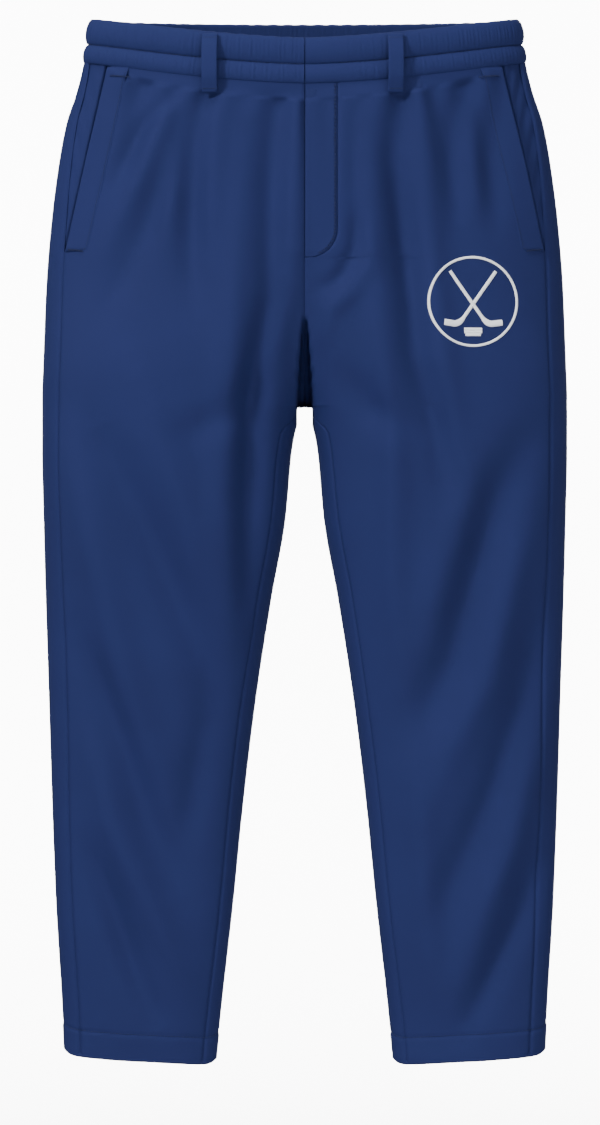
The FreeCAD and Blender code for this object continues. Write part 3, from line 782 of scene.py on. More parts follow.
def panel_points(drops, start, end, shape, dips, side, steady):
    """A grid of rows down the leg between two lists of angles. Dips are (edge, depth, width). The columns
    follow the steady angles, and only the last few turn from those to the end."""
    rows = []
    for drop, a, b, even in zip(drops, start, end, steady):
        angle = a + (even - a) * shape + (b - even) * shape**24
        line = skin(angle, np.full_like(angle, drop), 0, side, folds=False)
        reach = np.concatenate([[0], np.cumsum(np.linalg.norm(np.diff(line, axis=0), axis=1))]) / MM
        sink = np.zeros_like(angle)
        for edge, deep, width in dips:
            sink = sink + seam_dip(reach if edge == "start" else reach[-1] - reach, deep, width)
        row_drop = hem_drop(angle, np.full_like(angle, drop))
        sink = sink + hem_relief(angle, row_drop)
        rows.append(skin(angle, row_drop, sink, side))
    return np.array(rows)


# How a panel sinks into its seams: the edge, the depth and the width of the dip.
PANEL_DIPS = [("start", 1.3, 1.8), ("end", 0.9, 1.6)]


def hem_relief(angle, drop):
    """The stitched line above the hem, and the slight swell of the doubled cloth below it."""
    base = hem_drop(angle, np.full_like(angle, HEM))
    above = base - drop
    return 0.7 * np.exp(-(((above - 24.5) / 1.3) ** 2)) - 0.45 * smooth_step((24 - above) / 4)


def fly_edge(drop):
    """How far across the fly's stitched edge lies, with its rounded foot."""
    radius = FLY_WIDTH - 4
    over = np.clip((drop - (FLY_END - radius)) / radius, 0, 1)
    return np.where(drop < FLY_END - 0.2, FLY_WIDTH - radius + radius * np.sqrt(1 - over**2), 0.0)


def hand(side):
    return "left" if side == LEFT else "right"


def front_panel(side):
    """A front panel from the waist seam to the hem. The wearer's left one stops short of the fly's flap."""
    name = f"knit_front_{hand(side)}"
    flaps = side == LEFT
    drops = panel_rows([np.arange(38, 232, 3.0), [230.4, 231.2], np.arange(233, 330, 4.0)])
    start = angle_at(front_outer(drops), drops)
    end = inner_angle(drops)
    steady = steady_angle(drops)
    if flaps:
        edge = angle_at(fly_edge(drops) + 0.12, drops)
        end = np.where(drops <= FLY_END, edge, end)
        steady = np.where(drops <= FLY_END, edge, steady)
    shape = shares(230, 66)
    points = panel_points(drops, start, end, shape, PANEL_DIPS, side, steady)
    closed = (drops < FORK + 0.3) & (drops > FLY_END if flaps else True)
    points = square_fork(meet_middle(points, closed), drops, side)
    points = follow_waist(sink_fork(points, drops), drops)
    piece = grid_object(name, points, flip=side == RIGHT)
    return thicken(piece, cloth_settings().thickness)


def meet_middle(points, closed):
    """Brings the last columns of some rows to the middle of the body, where the two halves are sewn."""
    result = points.copy()
    for i in np.flatnonzero(closed):
        gap = result[i, -1, 0]
        result[i, :, 0] -= gap * np.exp(-np.abs(result[i, :, 0] - gap) / (3.0 * MM))
    return result


def square_fork(points, drops, side):
    """Trims the top of the gap between the legs square, where the thick seams cross."""
    result = points.copy()
    for i, drop in enumerate(drops):
        if FORK < drop < 396:
            inner = float(inner_edge(drop))
            beyond = np.clip(side * points[i, :, 0] / MM - inner, 0, None)
            result[i, :, 0] += side * max(7.2 - inner, 0) * np.exp(-beyond / 6) * MM
    return result


def sink_fork(points, drops):
    """Draws the middle of the front back into the fork, where the two legs' cloth turns in to the seam."""
    result = points.copy()
    for i, drop in enumerate(drops):
        share = (drop - FORK_TOP) / (FORK - FORK_TOP)
        if not 0 < share <= 1:
            continue
        reach = 2.2 + 6.4 * share**0.9
        turned = 1 - smooth_step((np.abs(points[i, :, 0]) / MM / reach - 0.62) / 0.38)
        seam = (-57 + 84 * share**0.6) * MM
        result[i, :, 1] += turned * np.maximum(seam - points[i, -1, 1], 0)
    return result


def follow_waist(points, drops):
    """Bends the top rows so that the first lies just under the waistband's curved seam."""
    across = np.abs(points[:, :, 0]) / MM
    top = seam_line(across) - 3.0
    down = -points[:, :, 2] / MM
    start = drops[0]
    reach = 60.0
    share = np.clip((down - start) / reach, 0, 1)
    moved = np.where(down < start + reach, top + (start + reach - top) * share, down)
    result = points.copy()
    result[:, :, 2] = -moved * MM
    return result


def back_panel(side):
    """A back panel, which wraps forward to the side seam and the inseam."""
    name = f"knit_back_{hand(side)}"
    drops = panel_rows([np.arange(39, 330, 4.0)])
    start = angle_at(side_edge(drops), drops)
    middle = 2 * np.pi - angle_at(np.zeros_like(drops), drops)
    below = smooth_step((drops - FORK + 0.3) / FORK_EASE)
    inseam = angle_at(inner_edge(drops) + INSEAM_INSET, drops)
    end = np.where(drops < FORK + 0.3, middle, (1 - below) * np.pi * 0.985 + below * inseam)
    at_fork = angle_at(np.zeros_like(drops), np.minimum(drops, FORK))
    turned = (1 - below) * (2 * np.pi - at_fork) + below * inseam
    steady = np.where(drops < FORK + 0.3, middle, turned)
    shape = shares(330, 84)
    points = panel_points(drops, start, end - 2 * np.pi, shape, PANEL_DIPS, side, steady - 2 * np.pi)
    points = square_fork(meet_middle(points, drops < FORK + 0.3), drops, side)
    piece = grid_object(name, points, flip=side == LEFT)
    return thicken(piece, cloth_settings().thickness)


class MESH_OT_trouser_panels(bpy.types.Operator):
    """Builds the two front panels and the two back panels"""

    bl_idname = "mesh.trouser_panels"
    bl_label = "Panels"

    def execute(self, context):
        for side in (LEFT, RIGHT):
            name = hand(side)
            front, back = front_panel(side), back_panel(side)
            finish_piece(front, material("knit"), "garment", "cloth", f"front_panel_{name}")
            finish_piece(back, material("knit"), "garment", "cloth", f"back_panel_{name}")
        return {"FINISHED"}


# ---------------------------------------------------------------- layers and slabs


def skin_row(across, drop, depth, side):
    """A level row of points on the front."""
    return skin(angle_at(across, np.full_like(across, drop)), np.full_like(across, drop), depth, side)


def front_patch(name, drops, low_edge, high_edge, depth, side, columns, wrinkle=None):
    """A sheet at a depth on the front, between two edges given as functions of the drop."""
    rows = []
    for drop in drops:
        start, end = float(low_edge(drop)), float(high_edge(drop))
        across = start + (end - start) * np.linspace(0, 1, columns)
        deep = depth(across, drop) if callable(depth) else depth
        if wrinkle:
            deep = deep + wrinkle(across, drop)
        rows.append(skin_row(across, drop, deep, side))
    return thicken(grid_object(name, np.array(rows), flip=side == LEFT), 0.8 * MM)


def slab_object(name, front, back):
    """A closed slab between two grids of points of the same size."""
    rows, columns = front.shape[:2]
    count = rows * columns
    points = np.concatenate([front.reshape(-1, 3), back.reshape(-1, 3)])
    faces = grid_faces(rows, columns)
    faces += [tuple(count + k for k in reversed(face)) for face in grid_faces(rows, columns)]
    ring = [*range(columns), *range(2 * columns - 1, count, columns),
            *range(count - 2, count - columns - 1, -1), *range(count - 2 * columns, 0, -columns)]
    for a, b in zip(ring, ring[1:] + ring[:1]):
        faces.append((b, a, count + a, count + b))
    return mesh_object(name, points.tolist(), faces, closed_skin=True)


def swept(name, stations, closed_ends=True):
    """A closed tube of skin through a list of rings of points."""
    rings = np.array(stations)
    count, size = rings.shape[:2]
    faces = grid_faces(count, size, closed=True)
    if closed_ends:
        faces += [tuple(reversed(range(size))), tuple(range((count - 1) * size, count * size))]
    return mesh_object(name, rings.reshape(-1, 3).tolist(), faces, closed_skin=True)


# ---------------------------------------------------------------- the fly


def fly_flap():
    """The lapped edge of the fly, which swings open on its stitched side."""
    drops = np.concatenate([np.arange(38, 224, 3.0), [225, 227, 228.5, 229.6, 230.4, 230.8]])
    start = angle_at(fly_edge(drops) - 0.12, drops)
    end = angle_at(np.full_like(drops, 0.35), drops)
    points = panel_points(drops, start, end, shares(31, 16, (0.7, 1.5, 2.5, 4.0)),
                          [("start", 0.8, 1.5), ("end", 0.5, 1.0)], LEFT, end)
    points = follow_waist(points, drops)
    return thicken(grid_object("knit_fly_flap", points), cloth_settings().thickness)


def fly_facing():
    """The layer stitched behind the flap."""
    drops = np.concatenate([np.arange(66, 224, 6.0), [227, 229.5, 230.5]])
    return front_patch("lining_fly_facing", drops, lambda drop: 0.8, lambda drop: fly_edge(drop) - 1.0, 1.6,
                       LEFT, columns=10)


def fly_stitching():
    """Two close rows of topstitching that follow the flap's rounded edge."""
    rows = []
    for inset in (1.6, 2.6):
        drops = np.concatenate([np.arange(66, 200, 3.0), np.arange(200, 230.5 - inset, 1.0)])
        places = [(float(fly_edge(drop + inset * 0.7)) - inset, float(drop)) for drop in drops]
        places = [place for place in places if place[0] > 2]
        face, out = skin_path(places, LEFT)
        rows.append(stitch_row(f"fly_row_{inset}", face, out, trim_settings().stitch_length))
    return joined("fly_topstitch", rows)


ZIP_ACROSS, ZIP_TOP, ZIP_LENGTH = 14, 76, 131
FRONT_LEAN = 0.0441  # how far the front leans out for each length down
COIL_PITCH = 1.5
ZIP_JOINT = next(joint for joint in frame["joints"] if joint["name"] == "zip_slider_travel")


def zip_spot(across, inward, along):
    """A point in the zip's own frame: across from its middle, in from the cloth and up from its top."""
    down = Vector(ZIP_JOINT["axis"])
    into = Vector((0, -down.z, down.y))
    top = Vector((ZIP_ACROSS, -(BAND_DEEP + (ZIP_TOP - BAND_FOOT) * FRONT_LEAN), -ZIP_TOP)) * MM
    return top + Vector((across, 0, 0)) * MM + into * inward * MM - down * along * MM


def zip_coil(side):
    """One side's nylon coil: flattened turns about a core."""
    rings, turns = [], int(ZIP_LENGTH / COIL_PITCH)
    for i in range(turns * 10):
        turn = i / 10
        angle = 2 * math.pi * turn
        centre_across = side * (1.6 + 0.75 * math.cos(angle))
        centre_in = 7.5 + 0.62 * math.sin(angle)
        along = -turn * COIL_PITCH - 0.4
        ring = []
        for k in range(6):
            around = k * math.pi / 3
            ring.append(zip_spot(centre_across + side * 0.26 * math.cos(around) * math.cos(angle),
                                 centre_in + 0.26 * math.cos(around) * math.sin(angle),
                                 along + 0.30 * math.sin(around)))
        rings.append([tuple(spot) for spot in ring])
    return swept(f"zip_turns_{hand(side)}", rings)


def zip_tape(side):
    """A woven tape with its stitched coil edge and a corded rim."""
    profile = [(0.7, 0.0), (1.1, -0.05), (1.7, 0.0), (3.4, 0.08), (8, 0.1), (10.8, 0.05), (11.6, 0.0),
               (12.0, 0.12)]
    front, back = [], []
    for along in np.linspace(7.8, -138.8, 60):
        front.append([tuple(zip_spot(side * a, 8.5 + lift, along)) for a, lift in profile])
        back.append([tuple(zip_spot(side * a, 9.0, along)) for a, _ in profile])
    return slab_object(f"zip_weave_{hand(side)}", np.array(front), np.array(back))


def fly_shield():
    """The shield behind the zip, with its folded edge."""
    across = np.array([-16.8, -16.2, -12, -6, 0, 6, 12, 17, 18.2, 18.8])
    front, back = [], []
    for along in np.linspace(9.8, -142.5, 50):
        wave = 0.15 * math.sin(along / 9)
        front.append([tuple(zip_spot(a, 10.75 + wave * math.sin(a / 6), along)) for a in across])
        back.append([tuple(zip_spot(a, 11.7 + wave * math.sin(a / 6), along)) for a in across])
    return slab_object("lining_fly_shield", np.array(front), np.array(back))


def underlap():
    """The end of the right waistband that passes under the tab."""
    low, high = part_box("waistband_underlap")
    inner = (-0.016, -0.006, -0.0015, 0.0008, 0.01, 0.022)
    across = np.array([low.x, low.x + 0.0008, *inner, high.x - 0.0008, high.x])
    front, back = [], []
    for share in (0, 0.03, 0.12, 0.3, 0.5, 0.7, 0.88, 0.97, 1):
        z = high.z + (low.z - high.z) * share
        soft = 0.0006 * (1 - min(1, min(share, 1 - share) * 14))
        step = [low.y + soft + (0.0023 if x > -0.001 else 0) for x in across]
        front.append([(x, y, z) for x, y in zip(across, step)])
        back.append([(x, high.y - soft, z) for x in across])
    return slab_object("band_underlap", np.array(front), np.array(back))


class MESH_OT_trouser_fly(bpy.types.Operator):
    """Builds the fly's flap, facing, shield and topstitching, and the zip behind it"""

    bl_idname = "mesh.trouser_fly"
    bl_label = "Fly and zip"

    def execute(self, context):
        finish_piece(fly_flap(), material("knit"), "fly_flap", "cloth", "fly_flap")
        finish_piece(fly_facing(), material("lining"), "fly_flap", "cloth", "fly_facing")
        finish_piece(fly_stitching(), material("thread"), "fly_flap", "tack_thread")
        finish_piece(fly_shield(), material("lining"), "garment", "lining", "fly_shield")
        finish_piece(underlap(), material("band_knit"), "garment", "lining", "waistband_underlap")
        for side in (LEFT, RIGHT):
            name = hand(side)
            finish_piece(zip_coil(side), material("coil"), "garment", "zip_textile", f"zip_coil_{name}")
            finish_piece(zip_tape(side), material("zip_tape"), "garment", "zip_textile", f"zip_tape_{name}")
        for node in ("zip_slider", "zip_pull", "zip_top_stops", "zip_bottom_stop"):
            repaint(node, "enamel")
        for node in ("snap_socket", "snap_stud", "snap_post"):
            repaint(node, "nickel")
        return {"FINISHED"}


def repaint(node, finish):
    """Gives a CAD node that stays a finish of this object's own."""
    mesh = frame["nodes"][node].data
    mesh.materials.clear()
    mesh.materials.append(material(finish))


# ---------------------------------------------------------------- pockets


def welt(side):
    """The doubled strip along the pocket mouth, proud of the front."""
    drops = np.arange(47, 224.5, 3.0)
    shape = np.array([0, 0.015, 0.05, 0.1, 0.2, 0.35, 0.5, 0.65, 0.8, 0.9, 0.95, 0.985, 1])
    rows = []
    for drop in drops:
        inner, outer = mouth_edge(drop) - 20.5, mouth_edge(drop) + 0.9
        across = inner + (outer - inner) * shape
        edges = np.minimum(1, np.minimum(shape / 0.05, (1 - shape) / 0.03)) ** 0.6
        swell = -(0.3 + 1.3 * shape**2) * edges
        stitched = 0.25 * np.exp(-(((across - inner - 1.9) / 0.8) ** 2))
        end = smooth_step(min(drop - 46, 225 - drop) / 2.5)
        gape = (1.2 if side == LEFT else 0.9) * np.sin(np.pi * (drop - 47) / 177) ** 2 * shape**3
        depth = (swell + stitched) * end + 0.5 * (1 - end) - gape
        rows.append(skin_row(across, drop, depth, side))
    piece = grid_object(f"knit_welt_{hand(side)}", np.array(rows), flip=side == LEFT)
    return thicken(piece, 0.9 * MM)


def pocket_facing(side):
    """The cloth seen inside the pocket mouth, between the welt and the side seam."""
    drops = np.arange(42, 228, 3.0)
    push = 1.0 if side == LEFT else 0.5

    def wrinkle(across, drop):
        run = np.sin(across / 2.6 + drop / 19) * np.sin(drop / 16 + across / 7)
        return push * 0.9 * run

    def channel(across, drop):
        return 2.3 + 4.0 * np.exp(-(((across - mouth_edge(drop) - 1.6) / 1.9) ** 2))

    return front_patch(f"knit_facing_{hand(side)}", drops, lambda drop: mouth_edge(drop) - 9,
                       lambda drop: side_edge(drop) + 1.2, channel, side, columns=44, wrinkle=wrinkle)


def pocket_bag(side):
    """The closed pouch behind the front."""
    drops = np.concatenate([[54, 56], np.arange(60, 306, 8.0), [309, 312, 314]])
    shape = np.array([0, 0.01, 0.05, 0.15, 0.3, 0.45, 0.6, 0.75, 0.88, 0.96, 0.99, 1])
    front, back = [], []
    for drop in drops:
        rim = smooth_step(min(drop - 53, 315 - drop) / 8)
        inner = 106 + 14 * smooth_step((drop - 285) / 30)
        outer = mouth_edge(drop) - 3 if drop < 222 else 225 - 8 * (drop - 222) / 92
        across = inner + (outer - inner) * shape
        edge = np.array([0, 0.5, 1, 1, 1, 1, 1, 1, 1, 1, 0.5, 0]) * rim
        ripple = 0.25 * np.sin(across / 7 + drop / 23)
        front.append(skin_row(across, drop, 4.5 - 1.1 * edge + ripple * edge, side))
        back.append(skin_row(across, drop, 4.7 + 1.4 * edge + ripple * edge, side))
    return slab_object(f"lining_bag_{hand(side)}", np.array(front), np.array(back))


def pocket_stitching(side):
    """The topstitching down the welt and across its lower end."""
    rows = []
    upright = [(mouth_edge(drop) - 18.6, float(drop)) for drop in np.arange(52, 221, 3.0)]
    foot = along_line([(mouth_edge(221) - 18.6, 221.0), (mouth_edge(221) - 1.5, 218.5)])
    for number, places in enumerate((upright, foot)):
        face, out = skin_path(places, side, proud=0.2)
        rows.append(stitch_row(f"pocket_row_{number}", face, out, trim_settings().stitch_length))
    return joined(f"pocket_topstitch_{hand(side)}", rows)


# Both ends of each bartack, at the foot and at the head of a pocket's mouth.
TACKS = [((211, 223.5), (225, 221.5)), ((166, 58), (185, 56))]


def bartacks():
    """Dense bars of zigzag stitching at both ends of both mouths."""
    bars = []
    for side in (LEFT, RIGHT):
        for number, (start, end) in enumerate(TACKS):
            for k in range(17):
                share = k / 16
                across = start[0] + (end[0] - start[0]) * share
                drop = start[1] + (end[1] - start[1]) * share
                lean = 0.35 if k % 2 else -0.35
                ends = [(across - lean, drop - 1.0), (across + lean, drop + 1.0)]
                face, out = skin_path(ends, side, proud=1.35)
                bars.append(stitch_row(f"tack_{side}_{number}_{k}", face, out, 1.8 * MM, gap=0.1 * MM,
                                       radius=0.42 * MM))
    return joined("pocket_bartacks", bars)


class MESH_OT_trouser_pockets(bpy.types.Operator):
    """Builds both slanted front pockets with their welts, facings, bags and stitching"""

    bl_idname = "mesh.trouser_pockets"
    bl_label = "Pockets"

    def execute(self, context):
        for side in (LEFT, RIGHT):
            name = hand(side)
            finish_piece(welt(side), material("knit"), "garment", "cloth", f"pocket_welt_{name}")
            finish_piece(pocket_facing(side), material("knit"), "garment", "cloth", f"pocket_facing_{name}")
            finish_piece(pocket_bag(side), material("lining"), "garment", "lining", f"pocket_bag_{name}")
            finish_piece(pocket_stitching(side), material("thread"), "garment", "tack_thread")
        finish_piece(bartacks(), material("thread"), "garment", "tack_thread", "bartacks")
        return {"FINISHED"}


# ---------------------------------------------------------------- hems


def hem(side):
    """The turned-up cloth: it closes the leg's lower edge and lies inside it up to the stitching."""
    angles = np.linspace(0, 2 * np.pi, 150, endpoint=False)
    profile = [(0.9, 3.0), (-0.25, 1.4), (-0.3, 0.2), (0.2, -0.55), (1.0, -0.8), (1.9, -0.5), (2.4, 0.6),
               (2.5, 4.0), (2.4, 12.0), (2.3, 20.0), (1.9, 24.0), (1.2, 24.8)]
    rows = []
    for depth, up in profile:
        base = hem_drop(angles, np.full_like(angles, HEM + 0.9))
        puckered = 0.12 * np.sin(angles * 60) * (up > 10)
        rows.append(skin(angles, base - up, np.full_like(angles, depth) + puckered, side))
    piece = grid_object(f"knit_hem_{hand(side)}", np.array(rows), closed=True, flip=side == RIGHT)
    return thicken(piece, 0.4 * MM)


def hem_stitching(side):
    """The row of stitches that holds the hem, all the way round the leg."""
    angles = np.linspace(0, 2 * np.pi, 260)
    drop = hem_drop(angles, np.full_like(angles, HEM)) - 24.5
    face = skin(angles, drop, 0.45, side)
    out = (skin(angles, drop, -0.55, side) - face) / MM
    return stitch_row(f"hem_topstitch_{hand(side)}", face, out, trim_settings().stitch_length)


class MESH_OT_trouser_hems(bpy.types.Operator):
    """Builds the turned-up hems and their stitching"""

    bl_idname = "mesh.trouser_hems"
    bl_label = "Hems"

    def execute(self, context):
        for side in (LEFT, RIGHT):
            finish_piece(hem(side), material("knit"), "garment", "cloth", f"hem_{hand(side)}")
            finish_piece(hem_stitching(side), material("thread"), "garment", "tack_thread")
        return {"FINISHED"}


# ---------------------------------------------------------------- waistband

GROOVE = 0.57  # the stitched channel line, as a share of the band's height


def gathering(across, behind):
    """How strongly the band is gathered at a place: least over the fly, most beside the belt loops."""
    if behind:
        return 0.75 + 0.25 * np.cos(across / 31)
    near_fly = smooth_step((-across - 6) / 10) * smooth_step((across + 92) / 14)
    by_loops = np.exp(-(((np.abs(across) - 100) / 22) ** 2))
    fly = smooth_step((across + 3) / 4) * smooth_step((38 - across) / 8)
    return np.clip(0.42 + 0.6 * near_fly + 0.35 * by_loops - 0.36 * fly, 0.05, 1.05)


def ripple(arc, share, strength):
    """Fine upright gathers. Each channel's drift a little apart, and the groove pinches them."""
    drift = 1.4 * np.sin(arc / 23) + (0.9 if share > GROOVE else 0)
    fine = np.sin(arc * 1.62 + drift) + 0.65 * np.sin(arc * 1.11 + 2.1 * drift)
    fine = fine + 0.5 * np.sin(arc * 2.3 + 1.7)
    swell = 0.75 + 0.25 * np.sin(arc / 9.3 + 1.2) * np.sin(arc / 31)
    return fine * swell * strength * cloth_settings().gather_height / MM / 2.4


def band_profile():
    """(share of the height, depth, how puffed) round the band, from its foot up the face and down inside."""
    steps = [1, 0.985, 0.96, 0.92, 0.86, 0.80, 0.74, 0.68, 0.63, 0.60, 0.585, GROOVE, 0.555, 0.54, 0.51,
             0.46, 0.40, 0.34, 0.28, 0.22, 0.16, 0.10, 0.06, 0.03, 0.005]
    face = []
    for share in steps:
        if share > GROOVE:
            t = (share - GROOVE) / (1 - GROOVE)
            puff = max(math.sin(math.pi * min(t, 1)), 0) ** 0.55
            depth = 1.3 - 3.5 * puff
        else:
            t = share / GROOVE
            puff = max(math.sin(math.pi * t), 0) ** 0.5
            depth = 1.5 - 4.2 * puff
        face.append((share, depth, puff))
    inner = [(share, 2.9 - 0.7 * math.exp(-(((share - GROOVE) / 0.05) ** 2)), 0.6)
             for share in (0.02, 0.06, 0.12, 0.2, 0.3, 0.4, 0.5, GROOVE, 0.64, 0.75, 0.85, 0.94, 0.985)]
    return [*face, (-0.012, 1.6, 0.2), *inner, (1.0, 1.8, 0.1)]


def band_edges(base, behind):
    """The drops of the band's upper and lower edges at places across."""
    if behind:
        return np.zeros(len(base)), np.full(len(base), BAND_FOOT)
    return top_line(base), seam_line(base)


def band_strip(name, start, end, behind, step=0.8):
    """A stretch of band between two places across. On the back it is seen from behind."""
    count = int(abs(end - start) * 1.12 / step)
    low, high = (math.acos(np.clip(x / 206.5, -1, 1)) for x in (start, end))
    angles = np.linspace(low, high, count)
    base = BAND_HALF * np.cos(angles)
    steps = np.hypot(np.diff(base), np.diff(BAND_DEEP * np.sin(angles)))
    arc = np.concatenate([[0], np.cumsum(steps)]) + start * 0.3
    top, foot = band_edges(base, behind)
    strength = gathering(base, behind)
    sign = 1 if behind else -1
    rings = []
    for share, depth, puff in band_profile():
        drop = top + (foot - top) * share
        half, deep, _, shift = section(drop)
        lift = ripple(arc, share, strength) * puff - depth
        if depth > 1:
            lift = 0.8 * ripple(arc + 2, share, strength) * puff - depth
        slope = np.hypot(np.cos(angles) / half, np.sin(angles) / deep)
        out_x, out_y = np.cos(angles) / half / slope, np.sin(angles) / deep / slope
        edge = 0.25 * np.sin(arc / 2.3) * strength * (share < 0.03)
        x = half * np.cos(angles) + out_x * lift
        y = sign * (deep * np.sin(angles) + out_y * lift) + shift
        rings.append(np.stack([x * MM, y * MM, -(drop + edge) * MM], axis=-1))
    return swept(name, np.transpose(np.array(rings), (1, 0, 2)))


def band_stitching():
    """The row of stitches along the groove, in front and behind."""
    rows = []
    for name, start, end, behind in (("front_right", -203, -1, False), ("front_left", 33, 203, False),
                                     ("back", -203, 203, True)):
        angles = np.linspace(math.acos(start / BAND_HALF), math.acos(end / BAND_HALF), 300)
        base = BAND_HALF * np.cos(angles)
        top, foot = band_edges(base, behind)
        drop = top + (foot - top) * GROOVE
        half, deep, _, shift = section(drop)
        sign = 1 if behind else -1
        out = np.stack([np.cos(angles) / half, sign * np.sin(angles) / deep, np.zeros(300)], axis=-1)
        out /= np.linalg.norm(out, axis=1)[:, None]
        face = np.stack([half * np.cos(angles), sign * deep * np.sin(angles) + shift, -drop], axis=-1) * MM
        length = trim_settings().stitch_length
        rows.append(stitch_row(f"band_row_{name}", face - out * 0.55 * MM, out, length))
    return joined("band_topstitch", rows)


def elastic(name, start, end, behind):
    """The webbing inside a casing, crimped by its own pull."""
    angles = np.linspace(math.acos(start / BAND_HALF), math.acos(end / BAND_HALF), 160)
    base = BAND_HALF * np.cos(angles)
    top, foot = band_edges(base, behind)
    sign = 1 if behind else -1
    sides = []
    for depth in (0.2, 1.2):
        rows = []
        for share in (0.08, 0.12, 0.25, 0.4, 0.5):
            drop = top + (foot - top) * share
            half, deep, _, shift = section(drop)
            pull = depth + 0.15 * np.sin(np.arange(160) * 1.3)
            x = (half - pull) * np.cos(angles)
            y = sign * (deep - pull) * np.sin(angles) + shift
            rows.append(np.stack([x, y, -drop], axis=-1) * MM)
        sides.append(np.array(rows))
    return slab_object(name, *sides)


class MESH_OT_trouser_waistband(bpy.types.Operator):
    """Builds the gathered waistband, its elastics and its channel stitching"""

    bl_idname = "mesh.trouser_waistband"
    bl_label = "Waistband"

    def execute(self, context):
        right = band_strip("band_front_right", -206.4, -0.15, False)
        finish_piece(right, material("band_knit"), "garment", "band_cloth", "waistband_front_right")
        left = band_strip("band_front_left", 0.5, 206.4, False)
        left.data.materials.append(material("band_knit"))
        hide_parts("waistband_front_left", "waistband_tab")
        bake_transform(left)
        back = band_strip("band_back", -206.4, 206.4, True)
        finish_piece(back, material("band_knit"), "garment", "band_cloth", "waistband_back")
        finish_piece(band_stitching(), material("thread"), "garment", "tack_thread")
        for name, start, end, behind in (("left", 40, 200, False), ("right", -200, -10, False),
                                         ("back", -200, 200, True)):
            web = elastic(f"webbing_{name}", start, end, behind)
            finish_piece(web, material("webbing"), "garment", "elastic_web", f"waistband_elastic_{name}")
        return {"FINISHED"}


# ---------------------------------------------------------------- belt loops

LOOPS = {
    "belt_loop_front_left": (86, 6, False),
    "belt_loop_front_right": (-90, -6, False),
    "belt_loop_back_left": (128, -10, True),
    "belt_loop_back_right": (-128, 10, True),
    "belt_loop_back_middle": (0, 0, True),
}
LOOP_WIDTH = 15.0
BAND_LEAN = math.tan(math.radians(1.45))
# The folded strip's path: how far it stands off the band, and its height from the top edge.
LOOP_ROUTE = [
    (0.4, -9.0), (0.3, -6), (0.5, -1.6), (1.5, -0.4), (2.6, -1.0), (3.4, -3.5), (4.6, -7.5), (6.6, -12),
    (7.7, -18), (8.2, -28), (7.9, -38), (6.9, -44), (4.9, -49), (3.5, -53), (2.7, -55.6), (1.5, -56.6),
    (0.5, -55.6), (0.3, -52), (0.4, -49),
]


def belt_loop(node):
    """A folded strip with its two ends tucked under and tacked down, arched off the band for a belt."""
    across, turn, behind = LOOPS[node]
    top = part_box(node)[1].z
    out = 51.6 * math.sqrt(1 - (across / 213.6) ** 2) + 0.5
    yaw = math.radians(turn + (180 if behind else 0))
    right = Vector((math.cos(yaw), math.sin(yaw), 0))
    ahead = Vector((math.sin(yaw), -math.cos(yaw), 0))
    origin = Vector((across * MM, (out if behind else -out) * MM, top))
    rings = []
    for i, (stand, height) in enumerate(LOOP_ROUTE):
        a, b = LOOP_ROUTE[max(i - 1, 0)], LOOP_ROUTE[min(i + 1, len(LOOP_ROUTE) - 1)]
        run = Vector((b[0] - a[0], b[1] - a[1])).normalized()
        face = Vector((-run.y, run.x)) * -1
        ring = []
        for u, v in loop_outline():
            spot = origin + right * u * MM
            spot = spot + ahead * (stand + face.x * v - height * BAND_LEAN * 0.6) * MM
            spot = spot + Vector((0, 0, height + face.y * v)) * MM
            ring.append(tuple(spot))
        rings.append(ring)
    piece = swept(f"band_{node}", rings)
    smooth = piece.modifiers.new("smooth", "SUBSURF")
    smooth.levels = 1
    piece = apply_modifiers(piece)
    tacks = []
    for height, stand in ((-4.2, 3.75), (-52.6, 3.75)):
        for k in range(13):
            centre = origin + right * (k - 6) * 1.02 * MM
            centre = centre + ahead * (stand - height * BAND_LEAN * 0.6 + 0.25) * MM
            centre = centre + Vector((0, 0, height)) * MM
            aside, up = right * (0.25 if k % 2 else -0.25) * MM, Vector((0, 0, 0.9 * MM))
            ends = [centre - aside - up, centre + aside + up]
            tacks.append(stitch_row(f"loop_tack_{k}", ends, [ahead, ahead], 1.5 * MM, 0.1 * MM, 0.34 * MM))
    return piece, joined(f"tack_{node}", tacks)


def loop_outline():
    """The flattened section of a folded strip: edges full, middle a little hollow."""
    half = LOOP_WIDTH / 2
    return [(-half, 0), (-half + 0.25, 0.55), (-half + 1.3, 0.75), (-half / 2, 0.6), (0, 0.52),
            (half / 2, 0.6), (half - 1.3, 0.75), (half - 0.25, 0.55), (half, 0), (half - 0.3, -0.5),
            (half / 2, -0.6), (0, -0.55), (-half / 2, -0.6), (-half + 0.3, -0.5)]


class MESH_OT_trouser_belt_loops(bpy.types.Operator):
    """Builds the belt loops and their bartacks"""

    bl_idname = "mesh.trouser_belt_loops"
    bl_label = "Belt loops"

    def execute(self, context):
        for node in LOOPS:
            strip, tack = belt_loop(node)
            finish_piece(strip, material("band_knit"), "garment", "band_cloth", node)
            finish_piece(tack, material("thread"), "garment", "tack_thread")
        return {"FINISHED"}


# ---------------------------------------------------------------- emblem


